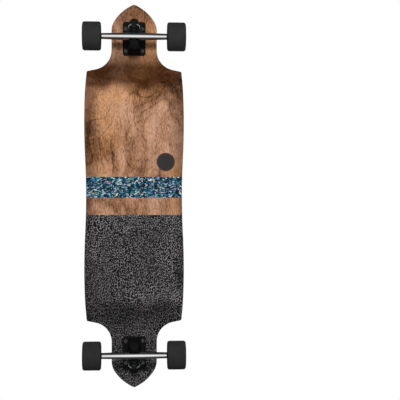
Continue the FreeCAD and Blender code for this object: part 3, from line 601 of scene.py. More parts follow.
class CracklePrint(Effect):
    """A dark print broken by a fine, uneven net of grey lines."""

    name = "crackle_print"
    inputs = {
        "Vector": (SocketKind.VECTOR, None),
        "Cells": (SocketKind.VALUE, 235.0),
        "Dark": (SocketKind.COLOUR, (0.008, 0.0075, 0.008)),
        "Line": (SocketKind.COLOUR, (0.46, 0.432, 0.443)),
        "Fade": (SocketKind.VALUE, 0.0),
    }
    outputs = {"Color": SocketKind.COLOUR}
    flow_scale = 8.0
    flow_reach = 0.075
    warp_scale = 110.0
    warp_reach = 0.004
    stretch: Point = (0.62, 1.0, 1.0)
    line_marks = (0.15, 0.05)
    breaks = Noise(330.0)
    break_marks = (0.43, 0.55)
    break_floor = 0.03
    drift = Noise(5.5)
    cloud_marks = (0.36, 0.64)
    cloud_range = (0.60, 1.40)
    faded = 0.45

    def build(self, graph: Graph, entry: Any) -> dict[str, Socket]:
        """A warped cell net whose lines come and go, brightened and darkened in broad patches as a painted
        sheen.
        """
        flow = graph.warped(entry["Vector"], self.flow_scale, self.flow_reach)
        bent = graph.warped(graph.stretched(flow, self.stretch), self.warp_scale, self.warp_reach)
        cells = graph.node(
            "ShaderNodeTexVoronoi",
            {"Vector": bent, "Scale": entry["Cells"]},
            voronoi_dimensions="2D",
            feature="DISTANCE_TO_EDGE",
        )
        lines = graph.step(cells.outputs["Distance"], *self.line_marks)
        gaps = graph.noise(entry["Vector"], self.breaks)
        breaks = graph.step(gaps, *self.break_marks, self.break_floor)
        # Painted sheen: the lines brighten and darken in broad random patches.
        clouds = graph.step(graph.noise(entry["Vector"], self.drift), *self.cloud_marks, *self.cloud_range)
        fade = graph.step(entry["Fade"], 0.0, 1.0, 1.0, self.faded)
        net = graph.times(lines, breaks, clouds, fade)
        return {"Color": graph.mix(net, entry["Dark"], entry["Line"])}


class PrintedDisc(Effect):
    """A plain round print with one thin ring."""

    name = "printed_disc"
    inputs = {
        "Vector": (SocketKind.VECTOR, None),
        "Centre": (SocketKind.VECTOR, (0.0, 0.0, 0.0)),
        "Radius": (SocketKind.VALUE, 0.023),
    }
    outputs = {"Mask": SocketKind.VALUE, "Ring": SocketKind.VALUE}
    edge = 0.0004
    ring_share = 0.88
    ring_half_width = 0.0006

    def build(self, graph: Graph, entry: Any) -> dict[str, Socket]:
        """Distance from the centre in plan, cut at the radius."""
        offset = graph.vector("SUBTRACT", entry["Vector"], entry["Centre"])
        reach = graph.vector("LENGTH", graph.vector("MULTIPLY", offset, (1.0, 1.0, 0.0)))
        inside = graph.math("SUBTRACT", entry["Radius"], reach)
        ring = graph.math("SUBTRACT", reach, graph.times(entry["Radius"], self.ring_share))
        return {
            "Mask": graph.step(inside, 0.0, self.edge),
            "Ring": graph.step(graph.math("ABSOLUTE", ring), self.ring_half_width, 0.0),
        }


# Finishes
@dataclass(frozen=True)
class Finish(ABC):
    """One material of the board and the record's slot that it belongs to."""

    slot: str
    roughness: float = 0.5
    spread: float = 0.12
    metallic: float = 0.0
    specular: float = 0.5
    coat: float = 0.0
    coat_roughness: float = 0.2
    bump: float = 0.00005

    def material(self) -> bpy.types.Material:
        """The material, built the first time that it is asked for."""
        name = f"{type(self).__name__}_{self.slot}"
        made = bpy.data.materials.get(name)
        if made is not None:
            return made
        made = bpy.data.materials.new(name)
        made.use_nodes = True
        graph = Graph(made.node_tree)
        shader = made.node_tree.nodes["Principled BSDF"]
        for label, value in (
            ("Metallic", self.metallic),
            ("Specular IOR Level", self.specular),
            ("Coat Weight", self.coat),
            ("Coat Roughness", self.coat_roughness),
        ):
            shader.inputs[label].default_value = value
        place = graph.node("ShaderNodeTexCoord").outputs["Object"]
        colour, height = self.surface(graph, place)
        graph.feed(shader.inputs["Base Color"], colour)
        gloss = HandlingMarks().place(graph, Vector=place, Roughness=self.roughness, Spread=self.spread)
        graph.feed(shader.inputs["Roughness"], gloss["Roughness"])
        relief = graph.node("ShaderNodeBump", {"Height": height, "Distance": self.bump, "Strength": 1.0})
        graph.feed(shader.inputs["Normal"], relief.outputs["Normal"])
        return made

    @abstractmethod
    def surface(self, graph: Graph, place: Socket) -> Look:
        """Lay the nodes of the finish.

        Args:
            graph: The material's tree.
            place: Object coordinates.

        Returns:
            The colour and the height of the relief.
        """


@dataclass(frozen=True)
class Cast(Finish):
    """Painted or moulded surface with a fine cast grain."""

    low: Colour = (0.006, 0.006, 0.0065)
    high: Colour = (0.013, 0.013, 0.0135)
    grains: float = 800.0

    def surface(self, graph: Graph, place: Socket) -> Look:
        """Two close tones of the paint over the cast grain."""
        skin = CastSkin().place(graph, Vector=place, Grains=self.grains)
        return graph.mix(skin["Tone"], self.low, self.high), skin["Height"]


@dataclass(frozen=True)
class Polished(Finish):
    """Bare metal with fine polishing lines."""

    low: Colour = (0.60, 0.60, 0.61)
    high: Colour = (0.82, 0.82, 0.82)
    lines: float = 1400.0
    lump: float = 60.0

    def surface(self, graph: Graph, place: Socket) -> Look:
        """Slow tone changes under the polishing lines."""
        lines = PolishLines().place(graph, Vector=place, Lines=self.lines)
        skin = CastSkin().place(graph, Vector=place, Grains=self.lump)
        return graph.mix(skin["Tone"], self.low, self.high), lines["Height"]


@dataclass(frozen=True)
class Plated(Polished):
    """Blacked metal with one bare bright slope, by the mask that the mesh carries."""

    face: Colour = (0.012, 0.012, 0.013)
    mask_name = "bare_slope"

    def surface(self, graph: Graph, place: Socket) -> Look:
        """The polished metal where the mask is set, and black elsewhere."""
        metal, height = super().surface(graph, place)
        bare = graph.node("ShaderNodeAttribute", attribute_name=self.mask_name).outputs["Fac"]
        return graph.mix(bare, self.face, metal), height


@dataclass(frozen=True)
class Ply(Finish):
    """Stained edge of the pressed veneers, one tone to each layer."""

    light: Colour = (0.11, 0.062, 0.034)
    dark: Colour = (0.035, 0.018, 0.010)
    layers: float = 9.0
    seam_share: float = 0.12

    def surface(self, graph: Graph, place: Socket) -> Look:
        """Alternate grain directions by the height that the mesh carries."""
        level = graph.node("ShaderNodeAttribute", attribute_name=DeckForm.level_name).outputs["Fac"]
        count = graph.times(level, self.layers)
        turn = graph.math("MODULO", graph.math("FLOOR", count), 2.0)
        seam = graph.step(graph.math("FRACT", count), self.seam_share, 0.0)
        tones = {"Dark": self.dark, "Middle": self.dark, "Light": self.light}
        figure = VeneerFigure().place(graph, Vector=place, **tones)
        tone = graph.mix(turn, self.light, figure["Color"])
        return graph.mix(seam, tone, self.dark), figure["Height"]


@dataclass(frozen=True)
class Disc:
    """Place, size and colours of a plain round print."""

    centre: Point
    radius: float
    colour: Colour
    ring: Colour

    def over(self, graph: Graph, place: Socket, ground: Socket) -> Socket:
        """Lay the disc over another print.

        Args:
            graph: The material's tree.
            place: Object coordinates.
            ground: Colour under the disc.

        Returns:
            The colour with the disc.
        """
        shape = PrintedDisc().place(graph, Vector=place, Centre=self.centre, Radius=self.radius)
        return graph.mix(shape["Mask"], ground, graph.mix(shape["Ring"], self.colour, self.ring))


@dataclass(frozen=True)
class Underside(Finish):
    """Face veneer under the deck: wood, a fleck band and a dark crackle half."""

    dark: Colour = (0.075, 0.029, 0.012)
    middle: Colour = (0.38, 0.190, 0.104)
    light: Colour = (0.635, 0.36, 0.234)
    band: Marks = (-0.004, 0.048)
    crackle_end: float = -0.047
    tail_fade: Marks = (-0.30, -0.38)
    disc: Disc = Disc((0.085, 0.0786, 0.0), 0.023, (0.040, 0.035, 0.034), (0.085, 0.078, 0.076))

    def surface(self, graph: Graph, place: Socket) -> Look:
        """Choose the print by the distance along the board."""
        # Painted shade across both bends of the deck, laid as dark heartwood, with darker rims and tips; the
        # same mask dims the crackle lines there.
        heart_and_shade = HeartWood().place(graph, Vector=place)["Mask"]
        tones = {"Dark": self.dark, "Middle": self.middle, "Light": self.light}
        wood = VeneerFigure().place(graph, Vector=place, Heart=heart_and_shade, **tones)
        flecks = FleckPrint().place(graph, Vector=place)
        along = graph.axes(place)[0]
        fade = graph.math("MAXIMUM", heart_and_shade, graph.step(along, *self.tail_fade))
        crackle = CracklePrint().place(graph, Vector=place, Fade=fade)
        above = graph.math("GREATER_THAN", along, self.band[0])
        below = graph.math("LESS_THAN", along, self.band[1])
        colour = graph.mix(graph.times(above, below), wood["Color"], flecks["Color"])
        colour = graph.mix(graph.math("LESS_THAN", along, self.crackle_end), colour, crackle["Color"])
        return self.disc.over(graph, place, colour), wood["Height"]


@dataclass(frozen=True)
class TopPrint(Finish):
    """Printed middle strip of the top under clear grit."""

    grit: float = 1100.0
    disc: Disc = Disc((0.071, 0.0, 0.0), 0.024, (0.058, 0.057, 0.058), (0.11, 0.11, 0.112))
    ground: Colour = (0.008, 0.026, 0.042)
    haze: Colour = (0.105, 0.095, 0.10)
    haze_ends: Marks = (0.29, 0.17)
    haze_noise: Noise = Noise(7.0)
    haze_marks: Marks = (0.36, 0.60)
    haze_floor: float = 0.3
    flecks: float = 350.0

    def surface(self, graph: Graph, place: Socket) -> Look:
        """Flecks with a painted sheen, paler towards the middle of the board, and a plain disc."""
        flecks = FleckPrint().place(graph, Vector=place, Cells=self.flecks, Ground=self.ground)
        along = graph.math("ABSOLUTE", graph.axes(place)[0])
        # Painted sheen: pale grey added in patches over the flat middle of the top, fading out before the
        # bends.
        patches = graph.step(graph.noise(place, self.haze_noise), *self.haze_marks, self.haze_floor)
        drift = graph.times(graph.step(along, *self.haze_ends), patches)
        colour = graph.mix(drift, flecks["Color"], self.haze, blend="ADD")
        skin = CastSkin().place(graph, Vector=place, Grains=self.grit)
        return self.disc.over(graph, place, colour), skin["Height"]


@dataclass(frozen=True)
class GripTape(Finish):
    """Coarse black grip tape."""

    low: Colour = (0.015, 0.015, 0.015)
    high: Colour = (0.055, 0.055, 0.055)
    grit: float = 950.0
    sparkle: Noise = Noise(420.0, detail=3.0)
    sparkle_marks: Marks = (0.60, 0.74)

    def surface(self, graph: Graph, place: Socket) -> Look:
        """Dark ground with paler grains here and there."""
        skin = CastSkin().place(graph, Vector=place, Grains=self.grit)
        sparkle = graph.step(graph.noise(place, self.sparkle), *self.sparkle_marks)
        return graph.mix(sparkle, self.low, self.high), skin["Height"]


# Mesh helpers
def linked(name: str, data: bpy.types.ID) -> Piece:
    """Make an object of a mesh, camera or lamp, and link it into the scene."""
    made = bpy.data.objects.new(name, data)
    bpy.context.scene.collection.objects.link(made)
    return made


def mesh_piece(
    name: str,
    points: Iterable[Place],
    edges: Sequence[Sequence[int]] = (),
    faces: Sequence[Sequence[int]] = (),
) -> Piece:
    """Make a mesh object from points, edges and faces.

    Args:
        name: Name of the piece.
        points: Its points.
        edges: Point numbers of each edge without a face.
        faces: Corner numbers of each face.

    Returns:
        The new object, linked into the scene.
    """
    mesh = bpy.data.meshes.new(name)
    mesh.from_pydata([tuple(point) for point in points], edges, faces)
    return linked(name, mesh)


def mark_points(piece: Piece, label: str, values: Sequence[float], vectors: bool = False) -> None:
    """Give each point of a mesh a named value.

    Args:
        piece: Object whose mesh is marked.
        label: Name of the attribute.
        values: One number for each point, or three for each where they are vectors.
        vectors: True for vectors.
    """
    kind, key = ("FLOAT_VECTOR", "vector") if vectors else ("FLOAT", "value")
    attribute = piece.data.attributes.new(label, kind, "POINT")
    attribute.data.foreach_set(key, values)


@contextmanager
def edited(mesh: bpy.types.Mesh) -> Iterator[bmesh.types.BMesh]:
    """Open a mesh for editing, and write it back at the end."""
    form = bmesh.new()
    form.from_mesh(mesh)
    yield form
    form.to_mesh(mesh)
    form.free()


def tidy_mesh(piece: Piece, outward: bool = True, flat_angle: float = 0.0) -> None:
    """Merge doubles, and turn the faces outwards or join flat ones on request.

    Args:
        piece: Object whose mesh is cleaned.
        outward: True to recalculate the normals.
        flat_angle: Joins faces that meet at less than this angle, in degrees.
    """
    with edited(piece.data) as form:
        bmesh.ops.remove_doubles(form, verts=form.verts, dist=MERGE_DISTANCE)
        bmesh.ops.dissolve_degenerate(form, edges=form.edges, dist=MERGE_DISTANCE)
        if flat_angle:
            limit = math.radians(flat_angle)
            bmesh.ops.dissolve_limit(form, angle_limit=limit, verts=form.verts, edges=form.edges)
        if outward:
            bmesh.ops.recalc_face_normals(form, faces=form.faces)


def apply_modifiers(piece: Piece) -> None:
    """Turn the object with its modifiers into a plain mesh."""
    evaluated = piece.evaluated_get(bpy.context.evaluated_depsgraph_get())
    mesh = bpy.data.meshes.new_from_object(evaluated)
    piece.modifiers.clear()
    old = piece.data
    piece.data = mesh
    bpy.data.meshes.remove(old)
    mesh.name = piece.name


def smooth_by_angle(piece: Piece, degrees: float = SMOOTH_ANGLE) -> None:
    """Shade smooth except across edges sharper than the angle."""
    piece.data.shade_smooth()
    piece.data.set_sharp_from_angle(angle=math.radians(degrees))


def node_copy(node: str, name: str) -> Piece:
    """A free copy of a CAD node's mesh.

    Args:
        node: Name of the CAD node.
        name: Name of the copy.

    Returns:
        The copy, with its doubles merged.
    """
    mesh = frame["nodes"][node].data.copy()
    mesh.name = name
    mesh.materials.clear()
    piece = linked(name, mesh)
    tidy_mesh(piece, outward=False)
    return piece


def add_piece(piece: Piece, body: str, finish: Finish, stands_for: Iterable[str] = ()) -> None:
    """Give a finished piece its material and body, and report it.

    Args:
        piece: The finished mesh.
        body: CAD body that it moves with.
        finish: Its material.
        stands_for: CAD nodes that it replaces.
    """
    piece.data.materials.clear()
    piece.data.materials.append(finish.material())
    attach(piece, body)
    declare_piece(piece, stands_for)


def declare_piece(piece: Piece, stands_for: Iterable[str]) -> None:
    """Hide the nodes that a piece replaces, and report it."""
    nodes = list(stands_for)
    if nodes:
        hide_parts(*nodes)
    faces = len(piece.data.polygons)
    LOG.info("%s: %d faces, stands for %s", piece.name, faces, ", ".join(nodes) or "nothing")


def dress_node(node: str, finish: Finish) -> None:
    """Give a CAD node that stays in view a better material."""
    part = frame["nodes"][node]
    part.data.materials.clear()
    part.data.materials.append(finish.material())
    LOG.info("%s: dressed as %s", node, finish.slot)


def cast_piece(node: str, body: str, finish: Finish, voxel: float, passes: int) -> None:
    """Replace a CAD casting by a copy with the soft edges of a cast piece.

    Args:
        node: Name of the CAD node.
        body: Body that it belongs to.
        finish: Its material.
        voxel: Grid size of the new skin.
        passes: Smoothing passes that round its edges.
    """
    piece = node_copy(node, f"{node}_casting")
    skin = piece.modifiers.new("skin", "REMESH")
    skin.mode = "VOXEL"
    skin.voxel_size = voxel
    soften = piece.modifiers.new("soften", "SMOOTH")
    soften.iterations = passes
    apply_modifiers(piece)
    piece.data.shade_smooth()
    add_piece(piece, body, finish, [node])


def bevelled_piece(node: str, body: str, finish: Finish, width: float) -> None:
    """Replace a CAD node by a copy with broken edges.

    Args:
        node: Name of the CAD node.
        body: Body that it belongs to.
        finish: Its material.
        width: Width of the broken edge.
    """
    piece = node_copy(node, f"{node}_finished")
    tidy_mesh(piece, outward=False, flat_angle=FLAT_ANGLE)
    bevel = piece.modifiers.new("broken_edges", "BEVEL")
    bevel.width = width
    bevel.segments = BEVEL_STEPS
    bevel.limit_method = "ANGLE"
    bevel.angle_limit = math.radians(BEVEL_ANGLE)
    apply_modifiers(piece)
    smooth_by_angle(piece, BEVEL_SMOOTH_ANGLE)
    add_piece(piece, body, finish, [node])


# Geometry node trees
FORM_INPUTS = {"Geometry": (SocketKind.GEOMETRY, None), "Finish": (SocketKind.MATERIAL, None)}


class FormTree(Recipe):
    """A geometry node tree that gives a piece its shape and material."""

    kind = "GeometryNodeTree"
    inputs = FORM_INPUTS
    outputs = {"Geometry": SocketKind.GEOMETRY}

    def build(self, graph: Graph, entry: Any) -> dict[str, Socket]:
        """Realize the form and paint it."""
        real = graph.first("GeometryNodeRealizeInstances", {0: self.grow(graph, entry)})
        painted = graph.first("GeometryNodeSetMaterial", {"Geometry": real, "Material": entry["Finish"]})
        return {"Geometry": painted}

    @abstractmethod
    def grow(self, graph: Graph, entry: Any) -> Socket:
        """Lay the form's nodes.

        Args:
            graph: The tree.
            entry: Sockets of its inputs.

        Returns:
            The geometry before it is realized and painted.
        """

    def shape(self, piece: Piece, finish: Finish, **values: Any) -> None:
        """Run the tree on an object and keep the plain mesh.

        Args:
            piece: Object that gets the shape.
            finish: Its material.
            **values: Values for its inputs.
        """
        modifier = piece.modifiers.new(self.name, "NODES")
        modifier.node_group = self.tree()
        given = {"Finish": finish.material(), **values}
        for item in modifier.node_group.interface.items_tree:
            if item.item_type == "SOCKET" and item.in_out == "INPUT" and item.name in given:
                modifier[item.identifier] = given[item.name]
        apply_modifiers(piece)


class TurnedForm(FormTree):
    """A profile of points, radius by height, with rounded corners, turned about Y."""

    name = "turned_form"
    inputs = {**FORM_INPUTS, "Segments": (SocketKind.COUNT, 96)}
    corner_steps = 5
    round_name = "corner_radius"

    def grow(self, graph: Graph, entry: Any) -> Socket:
        """Round the profile's corners, then wrap a grid of its points round the axis."""
        outline = graph.first("GeometryNodeMeshToCurve", {0: entry["Geometry"]})
        corner = graph.first("GeometryNodeInputNamedAttribute", {"Name": self.round_name}, data_type="FLOAT")
        rounded = graph.first(
            "GeometryNodeFilletCurve",
            {"Curve": outline, "Count": self.corner_steps, "Radius": corner, "Limit Radius": True},
            mode="POLY",
        )
        profile = graph.first("GeometryNodeCurveToMesh", {0: rounded})
        count = graph.first("GeometryNodeAttributeDomainSize", {0: profile}, component="MESH")
        grid = graph.node(
            "GeometryNodeMeshGrid",
            {"Size X": 1.0, "Size Y": 1.0, "Vertices X": entry["Segments"], "Vertices Y": count},
        )
        spot = graph.axes(grid.outputs["UV Map"])
        row = graph.math("ROUND", graph.times(spot[1], graph.math("SUBTRACT", count, 1.0)))
        place = graph.first("GeometryNodeInputPosition")
        sample = graph.first(
            "GeometryNodeSampleIndex",
            {"Geometry": profile, "Value": place, "Index": row},
            data_type="FLOAT_VECTOR",
        )
        point = graph.axes(sample)
        turn = graph.times(spot[0], math.tau)
        wrapped = graph.first(
            "ShaderNodeCombineXYZ",
            {
                0: graph.times(point[0], graph.math("COSINE", turn)),
                1: point[1],
                2: graph.times(point[0], graph.math("SINE", turn)),
            },
        )
        return graph.first("GeometryNodeSetPosition", {"Geometry": grid.outputs[0], "Position": wrapped})


class ThreadRidge(FormTree):
    """The visible ridges of screw threads, one wound at each input point along that point's direction."""

    name = "thread_ridge"
    inputs = {
        **FORM_INPUTS,
        "Radius": (SocketKind.VALUE, 0.004),
        "Turns": (SocketKind.VALUE, 3.0),
        "Length": (SocketKind.VALUE, 0.003),
        "Depth": (SocketKind.VALUE, 0.0003),
    }
    steps_to_a_turn = 28
    profile_sides = 3
    axis_name = "thread_axis"

    def grow(self, graph: Graph, entry: Any) -> Socket:
        """Sweep a small three-sided profile along a spiral, and set one on each point."""
        spiral = graph.first(
            "GeometryNodeCurveSpiral",
            {
                "Resolution": self.steps_to_a_turn,
                "Rotations": entry["Turns"],
                "Start Radius": entry["Radius"],
                "End Radius": entry["Radius"],
                "Height": entry["Length"],
            },
        )
        profile = graph.first(
            "GeometryNodeCurvePrimitiveCircle",
            {"Resolution": self.profile_sides, "Radius": entry["Depth"]},
        )
        ridge = graph.first(
            "GeometryNodeCurveToMesh",
            {"Curve": spiral, "Profile Curve": profile, "Fill Caps": True},
        )
        axis = graph.first(
            "GeometryNodeInputNamedAttribute",
            {"Name": self.axis_name},
            data_type="FLOAT_VECTOR",
        )
        turn = graph.first("FunctionNodeAlignRotationToVector", {"Vector": axis}, axis="Z")
        return graph.first(
            "GeometryNodeInstanceOnPoints",
            {"Points": entry["Geometry"], "Instance": ridge, "Rotation": turn},
        )


class GritField(FormTree):
    """Loose coarse grains that stand out of the grip panel."""

    name = "grit_field"
    inputs = {
        **FORM_INPUTS,
        "Density": (SocketKind.VALUE, 60000.0),
        "Grain": (SocketKind.VALUE, 0.0004),
        "Seed": (SocketKind.COUNT, 7),
    }
    upward = 0.6
    size_range = (0.5, 1.3)

    def grow(self, graph: Graph, entry: Any) -> Socket:
        """Scatter small grains over the faces that look up, and keep the panel itself."""
        up = graph.axes(graph.first("GeometryNodeInputNormal"))[2]
        points = graph.node(
            "GeometryNodeDistributePointsOnFaces",
            {
                "Mesh": entry["Geometry"],
                "Selection": graph.math("GREATER_THAN", up, self.upward),
                "Density": entry["Density"],
                "Seed": entry["Seed"],
            },
        )
        grain = graph.first("GeometryNodeMeshIcoSphere", {"Radius": entry["Grain"], "Subdivisions": 1})
        size = graph.node(
            "FunctionNodeRandomValue",
            {2: self.size_range[0], 3: self.size_range[1], "Seed": entry["Seed"]},
            data_type="FLOAT",
        )
        grains = graph.first(
            "GeometryNodeInstanceOnPoints",
            {
                "Points": points.outputs["Points"],
                "Instance": grain,
                "Rotation": points.outputs["Rotation"],
                "Scale": size.outputs[1],
            },
        )
        joined = graph.node("GeometryNodeJoinGeometry", {0: entry["Geometry"]})
        graph.feed(joined.inputs[0], grains)
        return joined.outputs[0]


def turned_piece(
    name: str,
    profile: Sequence[tuple[float, float, float]],
    finish: Finish,
    place: Matrix,
    segments: int = 96,
) -> Piece:
    """Turn a closed profile about Y and set it in its place.

    Args:
        name: Name of the piece.
        profile: Radius, height and corner radius of each point.
        finish: Its material.
        place: Where the turned form's own frame stands.
        segments: Steps round the axis.

    Returns:
        The turned piece.
    """
    count = len(profile)
    points = [(radius, height, 0.0) for radius, height, _ in profile]
    piece = mesh_piece(name, points, edges=[(step, (step + 1) % count) for step in range(count)])
    mark_points(piece, TurnedForm.round_name, [corner for _, _, corner in profile])
    TurnedForm().shape(piece, finish, Segments=segments)
    piece.data.transform(place)
    close_turned(piece)
    smooth_by_angle(piece)
    return piece


def thread_piece(
    name: str,
    starts: Sequence[tuple[Vector, Vector]],
    finish: Finish,
    radius: float,
    length: float,
    pitch: float,
) -> Piece:
    """Wind the thread ridges of a set of screw ends.

    Args:
        name: Name of the piece.
        starts: Where each thread starts, and the way that it runs.
        finish: Its material.
        radius: Radius of the screws.
        length: Length of thread that shows.
        pitch: Way along the screw for each turn.

    Returns:
        One piece that holds all the ridges.
    """
    piece = mesh_piece(name, [spot for spot, _ in starts])
    mark_points(piece, ThreadRidge.axis_name, [value for _, axis in starts for value in axis], vectors=True)
    depth = pitch * THREAD_DEPTH_SHARE
    ThreadRidge().shape(piece, finish, Radius=radius, Length=length, Turns=length / pitch, Depth=depth)
    tidy_mesh(piece)
    smooth_by_angle(piece)
    return piece


def close_turned(piece: Piece) -> None:
    """Close the seams of a turned grid: merge the wrap and bridge the last profile step."""
    with edited(piece.data) as form:
        bmesh.ops.remove_doubles(form, verts=form.verts, dist=MERGE_DISTANCE)
        open_edges = [edge for edge in form.edges if edge.is_boundary]
        if open_edges:
            bmesh.ops.bridge_loops(form, edges=open_edges)
        bmesh.ops.recalc_face_normals(form, faces=form.faces)


# Deck
def bolt_spots(end: End) -> list[Marks]:
    """Plan places of one truck's four deck bolts."""
    low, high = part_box(f"{end.word}_deck_bolts")
    return [
        (x, y)
        for x in (low.x + BOLT_HEAD_RADIUS, high.x - BOLT_HEAD_RADIUS)
        for y in (low.y + BOLT_HEAD_RADIUS, high.y - BOLT_HEAD_RADIUS)
    ]


def arc_points(start: Place, middle: Place, finish: Place, steps: int) -> np.ndarray:
    """Points on the arc through three points in plan.

    Args:
        start: First point.
        middle: A point on the arc between the ends.
        finish: Last point.
        steps: Steps along the arc.

    Returns:
        The points, one row each.
    """
    a, b, c = (np.array(point, float) for point in (start, middle, finish))
    lines = 2 * np.array([b - a, c - a])
    centre = np.linalg.solve(lines, [b @ b - a @ a, c @ c - a @ a])
    turns = np.unwrap([math.atan2(*(point - centre)[::-1]) for point in (a, b, c)])
    angles = np.linspace(turns[0], turns[2], steps + 1)
    return centre + np.linalg.norm(a - centre) * np.column_stack([np.cos(angles), np.sin(angles)])


def tangent_arc(level: Place, far: Place, steps: int) -> np.ndarray:
    """Points on the arc that leaves the first point along X and ends at the second."""
    along, aside = far[0] - level[0], far[1] - level[1]
    turn = 2 * math.atan2(aside, abs(along))
    radius = abs(along) / math.sin(turn)
    middle = (
        level[0] + math.copysign(radius * math.sin(turn / 2), along * radius),
        level[1] + radius * (1 - math.cos(turn / 2)),
    )
    return arc_points(level, middle, far, steps)


def round_corner(first: np.ndarray, second: np.ndarray, radius: float, steps: int) -> np.ndarray:
    """Join two runs of points that meet in a corner by a small arc.

    Args:
        first: Run that ends in the corner.
        second: Run that starts there.
        radius: Radius of the arc.
        steps: Steps along it.

    Returns:
        The joined run.
    """
    corner = first[-1]
    into = (corner - first[-2]) / np.linalg.norm(corner - first[-2])
    out = (second[1] - corner) / np.linalg.norm(second[1] - corner)
    turn = math.acos(np.clip(into @ out, -1, 1))
    reach = radius * math.tan(turn / 2)
    inward = (out - into) / np.linalg.norm(out - into)
    centre = corner + inward * radius / math.cos(turn / 2)
    middle = centre - inward * radius
    arc = arc_points(corner - into * reach, middle, corner + out * reach, steps)
    before = first[np.linalg.norm(first - corner, axis=1) > reach]
    after = second[np.linalg.norm(second - corner, axis=1) > reach]
    return np.vstack([before, arc, after])


